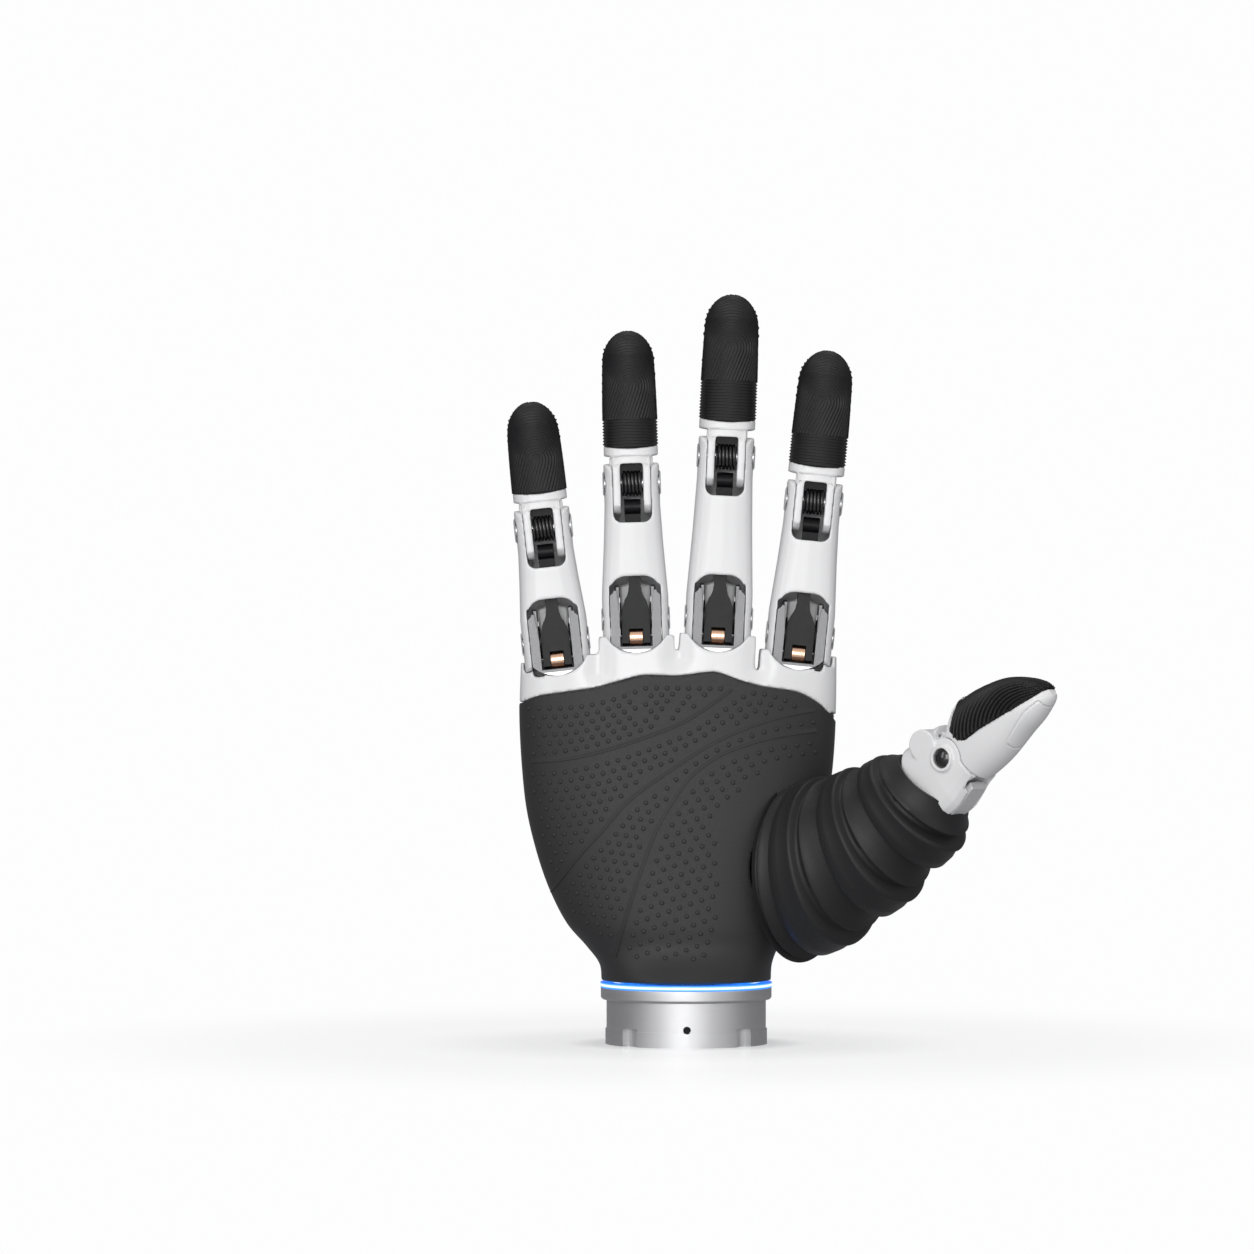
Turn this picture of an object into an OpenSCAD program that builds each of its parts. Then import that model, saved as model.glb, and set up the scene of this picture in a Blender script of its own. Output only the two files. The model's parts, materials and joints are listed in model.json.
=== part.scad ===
// Dexterous robot hand, right hand, standing on its wrist coupling.
// Millimetres. Origin: centre of the wrist coupling's bottom face. +Z runs up
// along the fingers, -Y is the palm side, +X is the thumb side.

/* [Wrist] */
// Radius of the quick-change wrist coupling's body
wrist_r = 21; // [18:0.5:22]
// Height of the coupling's turned body
wrist_h = 11.7; // [9:0.1:15]
// Radius of the flange above the body
flange_r = 22.5; // [22.2:0.1:25]
// Thickness of the flange
flange_t = 3.2; // [2.5:0.1:5]
// Thickness of the light ring between the flange and the palm
ring_t = 1.4; // [1:0.1:2.5]
// Radius of the latch hole in the coupling's front
latch_r = 1; // [0.6:0.1:1.6]
// Height of the latch hole above the bottom face
latch_z = 4.7; // [3:0.1:7]
// Number of bayonet notches round the coupling
bayonet_count = 4; // [3:1:6]

/* [Palm] */
// Height of the palm skin's lower edge above the light ring
palm_gap = 0.3; // [0.1:0.1:1]
// Half the palm's depth where it is deepest
palm_deep = 17; // [15:0.5:19]
// Half the palm's depth at the knuckles
palm_top_deep = 11.4; // [11:0.1:12.5]
// Thickness of the palm skin and of the back cover
cover_t = 2; // [1.5:0.1:2.6]
// Gap between two neighbouring covers
seam = 0.1; // [0.05:0.05:0.3]

/* [Fingers] */
// Half the width of a finger at the knuckle
ear_w = 8.75; // [8.5:0.05:8.9]
// Half the width of a finger at its middle joint
mid_w = 7.35; // [7.1:0.05:7.6]
// Half the depth of a finger
finger_y = 8.2; // [7.8:0.1:8.6]
// Wall of the finger casings
wall = 1.95; // [1.6:0.05:2]
// Radius of the round ears at the knuckle
ear_r = 7.4; // [7:0.1:7.6]
// Distance of the hinge pins in front of the finger's middle plane
pin_y = 3; // [2.5:0.1:3.5]
// Radius of the hinge pins
pin_r = 1.5; // [1.2:0.1:1.8]
// Radial running clearance of a pin in its bores
run = 0.05; // [0.02:0.01:0.09]
// Half the width of the steel knuckle housing
knuckle_w = 6.6; // [6.3:0.1:6.65]
// Half the width of the slot in the knuckle housing
slot_w = 4.25; // [4:0.05:4.5]
// Half the width of the fingertip's hinge tongue
tongue_w = 4.95; // [4.8:0.05:5]
// Thickness of each cheek of the tongue
cheek_t = 1.95; // [1.6:0.05:2.1]

/* [Joint travel] */
// Knuckle flexion, degrees
knuckle_max = 78; // [60:1:80]
// Fingertip flexion for each degree of knuckle flexion
tip_ratio = 1.1; // [0.9:0.05:1.15]

/* [Thumb] */
// Turn of the thumb towards the palm side, degrees from +X
thumb_turn = 38; // [30:1:44]
// Rise of the thumb above the horizontal, degrees
thumb_rise = 28.9; // [24:0.5:34]
// Distance from the thumb's root hinge to its tip hinge
thumb_link = 54; // [50:0.5:57]
// Distance from the thumb's tip hinge to its fingertip
thumb_end = 33.4; // [31:0.2:36]
// Outer radius of the sleeve's rim
sleeve_r = 11.4; // [10.8:0.1:12]

/* [Hidden] */
$fn = 48;
eps = 0.01;
// Each finger: knuckle x, knuckle z, lean from upright, knuckle-to-middle
// length, middle-to-tip length, half-width of the fingertip
fingers = [
  ["little", -34.4, 106.0, -6.2, 29.9, 33.4, 7.1],
  ["ring",   -13.3, 111.9, -1.7, 35.7, 40.1, 7.15],
  ["middle",   8.5, 112.2,  2.6, 42.4, 42.7, 7.4],
  ["index",   29.9, 107.5,  5.8, 35.4, 39.9, 7.4]];
// Palm outline: height, thumbward edge and outer edge, half-depth share
palm_rows = [
  [0.0, 22.3, 22.3, 1],
  [4.5, 22.6, 22.9, 0.98],
  [9.0, 24.3, 26.2, 1.02],
  [15.0, 27.6, 31.4, 1.03],
  [23.0, 31.2, 35.6, 1.02],
  [32.0, 34.2, 38.9, 1],
  [44.0, 36.8, 41.9, 0.97],
  [56.0, 38.6, 43.3, 0.92],
  [70.0, 39.5, 44.0, 0.85],
  [83.0, 39.7, 43.7, 0.76],
  [96.0, 39.7, 43.5, 0.7]];
palm_z0 = wrist_h + flange_t + ring_t + palm_gap;
palm_top = 101;
split_y = 3.2;
ring_n = 40;

// ---------- shared solids ----------
// A closed solid through a stack of rings with equal numbers of points
module loft(rings) {
  n = len(rings[0]);
  m = len(rings);
  pts = [for (r = rings) each r];
  polyhedron(points = pts, faces = concat(
    [[for (i = [0:n - 1]) i]],
    [for (j = [0:m - 2], i = [0:n - 1]) let (a = j * n + i, b = j * n + (i + 1) % n) [a, a + n, b]],
    [for (j = [0:m - 2], i = [0:n - 1]) let (a = j * n + i, b = j * n + (i + 1) % n) [b, a + n, b + n]],
    [[for (i = [n - 1:-1:0]) (m - 1) * n + i]]));
}
// A rounded section: half-widths to +X and -X, half-depths to -Y and +Y
function oval(z, xp, xn, yf, yb, e, n, cx = 0, cy = 0) = [for (i = [0:n - 1])
  let (t = 360 * i / n, c = cos(t), s = sin(t), p = 2 / e)
  [cx + sign(c) * pow(abs(c), p) * (c > 0 ? xp : xn), cy + sign(s) * pow(abs(s), p) * (s > 0 ? yb : yf), z]];
module along_x(x0, x1) translate([x0, 0, 0]) rotate([90, 0, 90]) linear_extrude(x1 - x0) children();
module rod(x0, x1, r) translate([x0, 0, 0]) rotate([0, 90, 0]) cylinder(r = r, h = x1 - x0);
module at_finger(f) translate([fingers[f][1], -pin_y, fingers[f][2]]) rotate([0, fingers[f][3], 0]) children();

// ---------- wrist ----------
notch_w = 5;
notch_d = 1.6;
notch_h = latch_z;
module wrist_coupling() color("silver") difference() {
  union() {
    cylinder(r = wrist_r + 0.3, h = 4);
    cylinder(r = wrist_r, h = wrist_h);
  }
  translate([0, 0, -1]) cylinder(r = wrist_r - 4.5, h = wrist_h - 1.5);
  translate([0, 0, latch_z]) rotate([90, 0, 0]) cylinder(r = latch_r, h = wrist_r + 2);
  // bayonet notches, open below
  for (k = [0:bayonet_count - 1]) rotate(-90 + 180 / bayonet_count + k * 360 / bayonet_count)
    translate([wrist_r - notch_d, -notch_w / 2, -1]) cube([6, notch_w, notch_h + 1]);
}
module wrist_flange() color("silver") translate([0, 0, wrist_h]) difference() {
  union() {
    cylinder(r1 = flange_r - 0.5, r2 = flange_r, h = 0.5);
    translate([0, 0, 0.5]) cylinder(r = flange_r, h = flange_t - 0.5);
  }
  translate([0, 0, -1]) cylinder(r = wrist_r - 9, h = flange_t + 2);
}
module light_ring() color("deepskyblue") translate([0, 0, wrist_h + flange_t]) difference() {
  cylinder(r = flange_r + 0.15, h = ring_t);
  translate([0, 0, -1]) cylinder(r = flange_r - 3, h = ring_t + 2);
}
module wrist_plug() color("dimgray") {
  translate([0, 0, 5]) cylinder(r = 7, h = wrist_h - 2.5 - 5);
  for (k = [0:5]) rotate(k * 60) translate([4.5, 0, 3]) cylinder(r = 0.7, h = 2 + eps);
}

// ---------- palm ----------
function palm_ring(row, inset) = oval(palm_z0 + row[0], row[1] - inset, row[2] - inset,
  palm_half(row, -1) - inset, palm_half(row, 1) - inset, row[0] < 1 ? 2 : 2.5, ring_n);
function palm_half(row, side) = row[0] < 5 ? row[1] - row[0] * 0.9 :
  palm_top_deep + (palm_deep - palm_top_deep) * max(0, (row[3] - 0.7) / 0.33);
module palm_body(inset = 0) loft([for (r = palm_rows) palm_ring(r, inset)]);
// Region above the wavy upper edge of the palm skin, cut straight through
skin_edge = [[-50, 88], [-43.5, 89.6], [-39, 91.6], [-24, 93.7], [-12, 97.1], [-2, 96.8], [7.6, 98.1],
  [14, 95.6], [20, 94], [29, 92.8], [33.3, 90.6], [36.5, 88.3], [38.4, 85], [50, 82]];
module above_edge(shift = 0) rotate([90, 0, 0]) linear_extrude(80, center = true)
  polygon(concat([for (p = skin_edge) p + [0, shift]], [[50, 130], [-50, 130]]));
module front_half(gap = 0) translate([-60, -60, 0]) cube([120, 60 + split_y - gap, 140]);
module back_half(gap = 0) translate([-60, split_y + gap, 0]) cube([120, 60, 140]);
// Opening that the thumb swings in, under the rubber sleeve
port_x = 34;
port_z = 46.5;
port_r = 17.5;
port_h = 22;
module thumb_port() rotate([90, 0, 0]) translate([0, 0, -5.5]) linear_extrude(40) {
  translate([port_x, port_z]) circle(r = port_r);
  translate([port_x, port_z - port_r]) square([2 * port_r, port_h + port_r]);
}
module palm_skin() color("#3a3a3c") intersection() {
  difference() {
    palm_body(0);
    palm_body(cover_t);
    above_edge();
    thumb_port();
  }
  front_half(seam / 2);
}
back_top = 96;
module back_cover() color("white") intersection() {
  difference() {
    palm_body(0.2);
    palm_body(cover_t);
    translate([-60, -60, back_top]) cube([120, 120, 60]);
    for (p = screw_spots) translate([p[0], 0, p[1]]) rotate([-90, 0, 0]) cylinder(r = 1.1, h = 40);
    thumb_port();
  }
  back_half(seam / 2);
}
screw_spots = [[-30, 82], [30, 82], [-20, 34], [12, 30]];
screw_r = 1;
plate_y = 4.2;
plate_t = 2.4;
boss_top = 9.6;
module cover_screws() color("dimgray") for (p = screw_spots) translate([p[0], 0, p[1]]) rotate([-90, 0, 0]) {
  translate([0, 0, plate_y + plate_t]) cylinder(r = screw_r, h = boss_top - plate_y);
}
// Knuckle row with its four cups, and the chassis plate below it
cup_w = 9.95;
cup_top = -4.5;
cup_ear_r = ear_r + 0.25;
knuckle_r = 8.9;
row_top = 98.2;
module cup_blank() translate([-cup_w, -20, -16]) cube([2 * cup_w, 40, 16 + cup_top]);
module row_blank() intersection() {
  loft([for (r = [palm_rows[8], palm_rows[9], palm_rows[10]]) palm_ring(r, 0.1)]);
  union() {
    intersection() {
      above_edge(seam);
      front_half();
    }
    translate([-60, split_y, back_top + seam]) cube([120, 60, 30]);
  }
  union() {
    translate([-60, -60, 80]) cube([120, 120, row_top - 80]);
    for (f = [0:3]) at_finger(f) cup_blank();
  }
}
module palm_frame() color("white") difference() {
  union() {
    row_blank();
    intersection() {
      palm_body(cover_t + 0.2);
      chassis();
    }
  }
  for (f = [0:3]) at_finger(f) {
    rod(-9.05, 9.05, cup_ear_r);
    rotate([90, 0, 0]) translate([0, 0, 4.9]) cylinder(r = knuckle_r + 0.2, h = 20);
    rod(-knuckle_w - seam / 2, knuckle_w + seam / 2, knuckle_r);
    translate([-knuckle_w - seam / 2, -4.9, -knuckle_r]) cube([2 * knuckle_w + seam, 10, 8]);
    translate([0, 0.2, -60]) cylinder(r = motor_r + 0.1, h = 60 - 20);
    translate([0, 0.2, -60]) cylinder(r = 1.5, h = 60);
  }
  for (p = screw_spots) translate([p[0], 0, p[1]]) rotate([-90, 0, 0]) cylinder(r = screw_r, h = 40);
  translate([thumb_yaw[0], thumb_yaw[1], axle_z - 2]) cylinder(r = axle_r, h = 20);
}
// Collar that carries the palm frame on the light ring
collar_r = flange_r - 3.5;
collar_t = 7;
module chassis() {
  translate([-50, plate_y, 30]) cube([62, plate_t, 60]);
  translate([-50, plate_y, 62]) cube([100, plate_t, 28]);
  translate([-60, -20, 82]) cube([120, 40, row_top - 82]);
  translate([0, 0, palm_z0 - palm_gap]) difference() {
    cylinder(r = collar_r, h = 9);
    translate([0, 0, -1]) cylinder(r = collar_r - collar_t, h = 12);
  }
  translate([1 - collar_r, plate_y, palm_z0]) cube([2 * collar_r - 2, plate_t, 20]);
  for (p = screw_spots) translate([p[0], plate_y, p[1]]) rotate([-90, 0, 0]) cylinder(r = 2.6, h = boss_top - plate_y);
  translate([8, -8, axle_z - 1.2]) cube([thumb_yaw[0] - 3, plate_y + 9, 3]);
}
motor_r = 5;
module finger_motors() color("gray") for (f = [0:3]) at_finger(f) translate([0, 0.2, -20 - seam]) {
  translate([0, 0, -24]) cylinder(r = motor_r - 0.4, h = 16 + eps);
  translate([0, 0, -8]) cylinder(r = motor_r, h = 8);
  cylinder(r = 1.4, h = 10);
}
board_w = 38;
board_h = 36;
board_t = 1.6;
chip_w = 14;
module control_board() color("green") translate([-28, plate_y + plate_t, 40]) {
  cube([board_w, board_t, board_h]);
  translate([(board_w - chip_w) / 2, board_t - eps, (board_h - chip_w) / 2]) cube([chip_w, 2, chip_w]);
}

// ---------- fingers ----------
// Steel housing fixed in its cup, slotted for the lever, with pointed plates
plate_point = 5.1;
module knuckle(f) color("gray") at_finger(f) difference() {
  intersection() {
    union() {
      rod(-knuckle_w, knuckle_w, knuckle_r);
      translate([-knuckle_w, -4.9, -8]) cube([2 * knuckle_w, 10, 8]);
    }
    translate([-10, -4.9, -12]) cube([20, 20, 24]);
    rotate([90, 0, 0]) translate([0, 0, -16]) union() {
      cylinder(r = 9, h = 32);
      linear_extrude(32) polygon([[-knuckle_w - 1, 0], [-knuckle_w, 3.2], [-plate_point, 9.3], [plate_point, 9.3],
        [knuckle_w, 3.2], [knuckle_w + 1, 0]]);
    }
  }
  translate([-slot_w, -12, -7.3]) cube([2 * slot_w, 30, 30]);
  rod(-10, 10, pin_r + run);
  for (s = [-1, 1]) translate([s * (slot_w - 1), -5, 1]) rotate([0, s * 6, 0]) translate([-1, -2, 0]) cube([2, 4, 12]);
}
module knuckle_pin(f) color("silver") at_finger(f) {
  rod(-ear_w - 0.1, ear_w + 0.1, pin_r);
  for (s = [-1, 1]) mirror([s < 0 ? 1 : 0, 0, 0]) translate([ear_w, 0, 0]) rotate([0, 90, 0])
    cylinder(r1 = 3.15, r2 = 2.7, h = 0.25);
}
// Drive lever: narrow neck, curved flare, fork round the bronze roller
lever_neck = 1.6;
lever_hip = 3.7;
module lever(f) color("#2a2a2c") at_finger(f) difference() {
  intersection() {
    rotate([90, 0, 0]) translate([0, 0, -3.2]) linear_extrude(6.3) difference() {
      union() {
        translate([-lever_neck, 2]) square([2 * lever_neck, 10.3]);
        translate([-lever_hip, -7]) square([2 * lever_hip, 9.4]);
        polygon([[-lever_hip, 2.3], [lever_hip, 2.3], [lever_neck, 8.4], [-lever_neck, 8.4]]);
      }
      for (s = [-1, 1]) translate([s * 6.9, 8.2]) circle(r = 5.2);
      translate([-1.85, -8]) square([3.7, 4.6 + 8 - 7.2]);
    }
    union() {
      rod(-5, 5, 7.1);
      translate([-5, -4, 0]) cube([10, 7.2, 14]);
    }
  }
  rod(-10, 10, pin_r);
}
module roller(f) color("peru") at_finger(f) translate([0, -1.4, -4.9]) {
  rod(-1.7, 1.7, 2.1);
  for (s = [-1, 1]) translate([s * 2.9, 0, 0]) rod(-0.35, 0.35, 1.5);
  rod(-3.7, 3.7, 0.7);
}
// Casing outline seen from the side: round ear below, open fork above
module casing_side(len) {
  circle(r = ear_r);
  translate([-5.2, 0]) square([16.4, len]);
  translate([0, -2.5]) square([11.2, 4]);
  translate([0, len]) circle(r = 5.2);
  translate([0, len - 2]) square([9.2, 7]);
  translate([9.2, len + 3]) circle(r = 2);
  translate([9, len - 2]) square([2.2, 5]);
}
function finger_ring(z, w, d, e) = oval(z, w, w, d, d, e, 28, 0, pin_y);
// Bright guide web behind the lever's neck, on a rib from the casing's back
web_w = 4.05;
web_y = 3.4;
web_t = 1.5;
module guide_web() {
  rotate([90, 0, 0]) translate([0, 0, -web_y - web_t]) linear_extrude(web_t)
    polygon([[-web_w, 1], [web_w, 1], [web_w, 8.7], [0, 9.9], [-web_w, 8.7]]);
  translate([-lever_neck + 0.1, web_y, 4]) cube([2 * lever_neck - 0.2, finger_y + pin_y - wall - web_y + 0.2, 8]);
}
module casing(f) color("white") at_finger(f) union() {
  casing_shell(f);
  guide_web();
}
module casing_shell(f) { len = fingers[f][4]; difference() {
  intersection() {
    loft([finger_ring(-10, ear_w, finger_y, 4.2), finger_ring(6, ear_w, finger_y, 4.2),
      finger_ring(len * 0.55, (ear_w + mid_w) / 2 - 0.2, finger_y - 0.2, 3.6),
      finger_ring(len - 6, mid_w, finger_y - 0.2, 3.6), finger_ring(len + 8, mid_w, finger_y - 0.2, 3.6)]);
    along_x(-12, 12) casing_side(len);
  }
  intersection() {
    loft([finger_ring(-12, knuckle_w + 0.15, finger_y + 4, 8), finger_ring(12.5, knuckle_w + 0.15, finger_y - wall, 5),
      finger_ring(len - 8, tongue_w + 0.1, finger_y - wall - 0.2, 5), finger_ring(len + 9, tongue_w + 0.1, finger_y - wall - 0.2, 5)]);
    union() {
      translate([-20, -20, 0]) cube([40, 40, 90]);
      translate([-20, -20, -20]) cube([40, 20 + finger_y + pin_y - wall - 0.2, 21]);
    }
  }
  translate([-knuckle_w - 0.15, -12, -12]) cube([2 * knuckle_w + 0.3, 12 + finger_y + pin_y - wall, 21]);
  translate([0, 0, len]) {
    rod(-tongue_w - 0.1, tongue_w + 0.1, 8.25);
    translate([-tongue_w - 0.1, -12, 0]) cube([2 * tongue_w + 0.2, 12 + 8.25, 12]);
  }
  // arched window over the knuckle housing
  rotate([90, 0, 0]) linear_extrude(12) {
    for (s = [-1, 1]) translate([s * 2.3, 6.9]) circle(r = 4.3);
    translate([-2.3, 0]) square([4.6, 11.2]);
    translate([-knuckle_w, -12]) square([2 * knuckle_w, 18.9]);
  }
  // slot for the fingertip's tongue
  rotate([90, 0, 0]) linear_extrude(12) {
    translate([-tongue_w - 0.1, len - 8.2]) square([2 * tongue_w + 0.2, 30]);
    for (s = [-1, 1]) translate([s * (tongue_w + 0.1 - 2.2), len - 8.2]) circle(r = 2.2);
    translate([-2.8, len - 10.4]) square([5.6, 4]);
  }
  rod(-12, 12, pin_r);
  translate([0, 0, len]) rod(-12, 12, pin_r);
} }
module middle_pin(f) color("silver") at_finger(f) translate([0, 0, fingers[f][4]]) {
  rod(-mid_w - 0.1, mid_w + 0.1, pin_r);
  for (s = [-1, 1]) mirror([s < 0 ? 1 : 0, 0, 0]) translate([mid_w - 0.05, 0, 0]) rotate([0, 90, 0])
    cylinder(r1 = 3.3, r2 = 2.8, h = 0.35);
}
spring_turns = 6;
spring_wire = 0.45;
module spring(f) color("black") at_finger(f) translate([0, 0, fingers[f][4]]) rotate([0, 90, 0]) difference() {
  union() {
    for (k = [0:spring_turns - 1]) translate([0, 0, (k - (spring_turns - 1) / 2) * 0.84])
      rotate_extrude() translate([3.05, 0]) circle(r = spring_wire);
    translate([0, 0, -2.6]) cylinder(r = 3, h = 5.2);
  }
  translate([0, 0, -6]) cylinder(r = pin_r, h = 12);
}
// Push rod from the knuckle to the fingertip, running inside the casing
module coupler(f) { len = fingers[f][4]; color("#1c1c1e") at_finger(f) {
  translate([0, 0, len - 6.3]) rod(-2.15, 2.15, 2.1);
  translate([-2.1, -1, 12.6]) cube([4.2, 2.4, len - 6.3 - 12.6]);
  translate([0, 0.3, 13.4]) rod(-knuckle_w - 0.3, knuckle_w + 0.3, 1);
} }
// Fingertip: rounded end on a tongue; the pad takes its front and top
function tip_width(f) = fingers[f][6];
tip_d = 7.6;
pad_low = 9.4;
module tip_form(f, inset = 0) { len = fingers[f][5]; w = tip_width(f) - inset; d = tip_d - inset;
  loft(concat([finger_ring(5, w, d, 3), finger_ring(len * 0.45, w * 1.02, d, 2.6), finger_ring(len - w, w, d * 0.94, 2.3)],
    [for (a = [25, 45, 62, 75, 85]) oval(len - w - inset + w * sin(a), w * cos(a), w * cos(a), d * 0.94 * cos(a), d * 0.94 * cos(a), 2.2, 28, 0, pin_y)]));
}
// Region of the pad: its lower edge dips in the middle
edge_r = 31;
edge_dip = 0.9;
pad_depth = 1.6;
module tip_front(gap) translate([0, pin_y + pad_depth - gap, pad_low - 0.4 + gap]) rotate([90, 0, 0]) linear_extrude(30) {
  intersection() {
    translate([0, edge_r]) circle(r = edge_r, $fn = 120);
    translate([-10, 0]) square([20, edge_dip + 0.2]);
  }
  translate([-20, edge_dip]) square([40, 60]);
}
// Lower edge of the collar, rising a little towards its sides
module collar_side() rotate([90, 0, 0]) linear_extrude(40, center = true)
  polygon([[-20, 60], [-20, 8.3], [-tongue_w, 7.1], [tongue_w, 7.1], [20, 8.3], [20, 60]]);
module tip(f) { len = fingers[f][5]; color("white") at_finger(f) translate([0, 0, fingers[f][4]]) difference() {
  union() {
    difference() {
      intersection() {
        tip_form(f, 0.15);
        collar_side();
      }
      tip_front(0);
    }
    intersection() {
      tip_form(f, 2.6);
      translate([-20, -20, pad_low - 1]) cube([40, 40, len - pad_low - 5]);
    }
    intersection() {
      union() for (s = [-1, 1]) rod(s > 0 ? tongue_w - cheek_t : -tongue_w, s > 0 ? tongue_w : -tongue_w + cheek_t, 8);
      translate([-20, -5.2, -20]) cube([40, 40, 40]);
    }
    translate([-tongue_w, -5.2, 0]) cube([2 * tongue_w, 10.5, 7.2]);
  }
  translate([-tongue_w + cheek_t, -12, -12]) cube([2 * (tongue_w - cheek_t), 40, 12 + 5.1]);
  rod(-12, 12, pin_r + run);
} }
module pad(f) color("#232324") at_finger(f) translate([0, 0, fingers[f][4]]) difference() {
  intersection() {
    tip_form(f);
    tip_front(seam);
  }
  tip_form(f, 2.6 - seam);
}

// ---------- thumb ----------
thumb_root = [33, -9, 50];
// Upright axis that the whole thumb turns on
thumb_yaw = [21, -3];
axle_z = 34;
axle_r = 2.5;
hub_h = 16;
module at_thumb() translate(thumb_root) rotate([0, 0, -thumb_turn]) rotate([0, 90 - thumb_rise, 0]) children();
// In the thumb's own frame +Z runs along the thumb, the hinges lie on Y,
// and -X is the gripping side
module hinge(y0, y1, r) translate([0, y0, 0]) rotate([-90, 0, 0]) cylinder(r = r, h = y1 - y0);
clevis_w = 4.6;
clevis_t = 2;
clevis_r = 4.7;
module thumb_carrier() color("dimgray") difference() {
  union() {
    translate([thumb_yaw[0], thumb_yaw[1], axle_z + 2]) cylinder(r = 5.2, h = hub_h);
    at_thumb() {
      for (s = [-1, 1]) hinge(s > 0 ? clevis_w : -clevis_w - clevis_t, s > 0 ? clevis_w + clevis_t : -clevis_w, clevis_r);
      translate([-clevis_r, -clevis_w - clevis_t, -12]) cube([2 * clevis_r, 2 * (clevis_w + clevis_t), 5.8]);
      for (s = [-1, 1]) translate([1 - clevis_r, s > 0 ? clevis_w : -clevis_w - clevis_t, -8]) cube([2 * clevis_r - 2, clevis_t, 8]);
    }
  }
  translate([thumb_yaw[0], thumb_yaw[1], 20]) cylinder(r = axle_r + run, h = 60);
  at_thumb() hinge(-12, 12, pin_r);
}
module thumb_axle() color("silver") translate([thumb_yaw[0], thumb_yaw[1], axle_z - 1]) {
  cylinder(r = axle_r, h = hub_h + 4.2);
  translate([0, 0, hub_h + 3.2]) cylinder(r = 3.2, h = 1);
}
// The arm's shell starts inside the sleeve and ends in two round ears; on the
// back it stands higher, and the strap lies in a slot there
arm_start = thumb_link - 16;
ear_tip_r = 5.2;
tongue_half = 5;
tongue_r = 6.2;
back_rise = 4.2;
button_r = 2.4;
strap_x = 7.3;
strap_w = 3.2;
strap_t = 1.9;
module thumb_arm() color("white") at_thumb() difference() {
  union() {
    hinge(-4.5, 4.5, 5);
    translate([-4.5, -4.5, 0]) cube([9, 9, arm_start + 2]);
    intersection() {
      loft([oval(arm_start, 8.4, 8.4, 7.8, 7.8, 2.4, 28), oval(arm_start + 4, 9.3, 9.3, 8.4, 8.4, 2.4, 28),
        oval(thumb_link - 4, 9.9, 10, 8.6, 8.6, 2.4, 28), oval(thumb_link + 6, 9, 9.3, 8.2, 8.2, 2.4, 28)]);
      union() {
        translate([-12, -12, 0]) cube([24, 24, thumb_link]);
        translate([0, -12, 0]) cube([12, 24, thumb_link + back_rise]);
        translate([0, 0, thumb_link]) hinge(-10, 10, ear_tip_r);
      }
    }
    // knuckle lobe on the grip side, and the raised rings round the button
    translate([-6, 0, thumb_link - 4.1]) hinge(-8.3, 8.3, 4);
    translate([0, 0, thumb_link]) hinge(-9.1, 9.1, button_r + 0.95);
  }
  hinge(-12, 12, pin_r + run);
  translate([0, 0, thumb_link]) {
    hinge(-12, 12, pin_r);
    hinge(-tongue_half - seam, tongue_half + seam, tongue_r + 0.7);
    translate([-12, -tongue_half - seam, 0]) cube([24, 2 * (tongue_half + seam), 12]);
    for (s = [-1, 1]) hinge(s > 0 ? 7.6 : -12, s > 0 ? 12 : -7.6, button_r + seam);
  }
  translate([strap_x, -strap_w - 0.2, arm_start]) cube([6, 2 * strap_w + 0.4, 24]);
}
module thumb_root_pin() color("silver") at_thumb() hinge(-clevis_w - clevis_t - 0.1, clevis_w + clevis_t + 0.1, pin_r);
module thumb_tip_pin() color("black") at_thumb() translate([0, 0, thumb_link]) {
  hinge(-8, 8, pin_r);
  for (s = [-1, 1]) {
    hinge(s > 0 ? 7.6 : -8.4, s > 0 ? 8.4 : -7.6, button_r);
    intersection() {
      translate([0, s * 5.4, 0]) sphere(r = 3.9);
      hinge(s > 0 ? 8.3 : -12, s > 0 ? 12 : -8.3, button_r);
    }
  }
}
module thumb_strap() color("lightgray") at_thumb() translate([strap_x, -strap_w, arm_start + 0.5])
  cube([strap_t, 2 * strap_w, thumb_link - arm_start + 1]);
// Fingertip of the thumb: height as a share, half-widths, lean to the grip side
thumb_rows = [[0.06, 9.1, 7.9, -0.5], [0.21, 10.7, 8.2, -2.4], [0.4, 10.1, 8.1, -2.9], [0.64, 7.9, 7.3, -3.2],
  [0.78, 6.4, 6.2, -2.9], [0.9, 4.3, 4.5, -2.3], [0.97, 2.6, 2.8, -1.7], [1, 1.3, 1.3, -1.4]];
module thumb_form(inset = 0) loft([for (r = thumb_rows) let (cut = min(inset, r[1] * 0.6))
  oval(r[0] * thumb_end - (r[0] > 0.9 ? inset : 0), r[1] - cut, r[1] - cut, r[2] - min(inset, r[2] * 0.6), r[2] - min(inset, r[2] * 0.6), 2.3, 28, r[3], 0)]);
module across(points) rotate([90, 0, 0]) linear_extrude(40, center = true) polygon(points);
module pad_side(gap) across([[-20, 14.6 + gap], [-7, 6 + gap], [-4.4, 5.2 + gap], [-2, 6 + gap], [-0.8 - gap, 8.2],
  [-1.2 - gap, 13], [-1.2 - gap, 24], [-1.5 - gap, 29], [-2 - gap, 32], [-2.2 - gap, 40], [-20, 40]]);
// Recess of the nail on the back
nail_d = 0.8;
module nail_side() across([[20, 16.2], [6.4, 16.2], [4.6, 16.8], [3.8, 18.2], [0.6, 26], [-0.4, 30.5], [20, 31]]);
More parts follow.
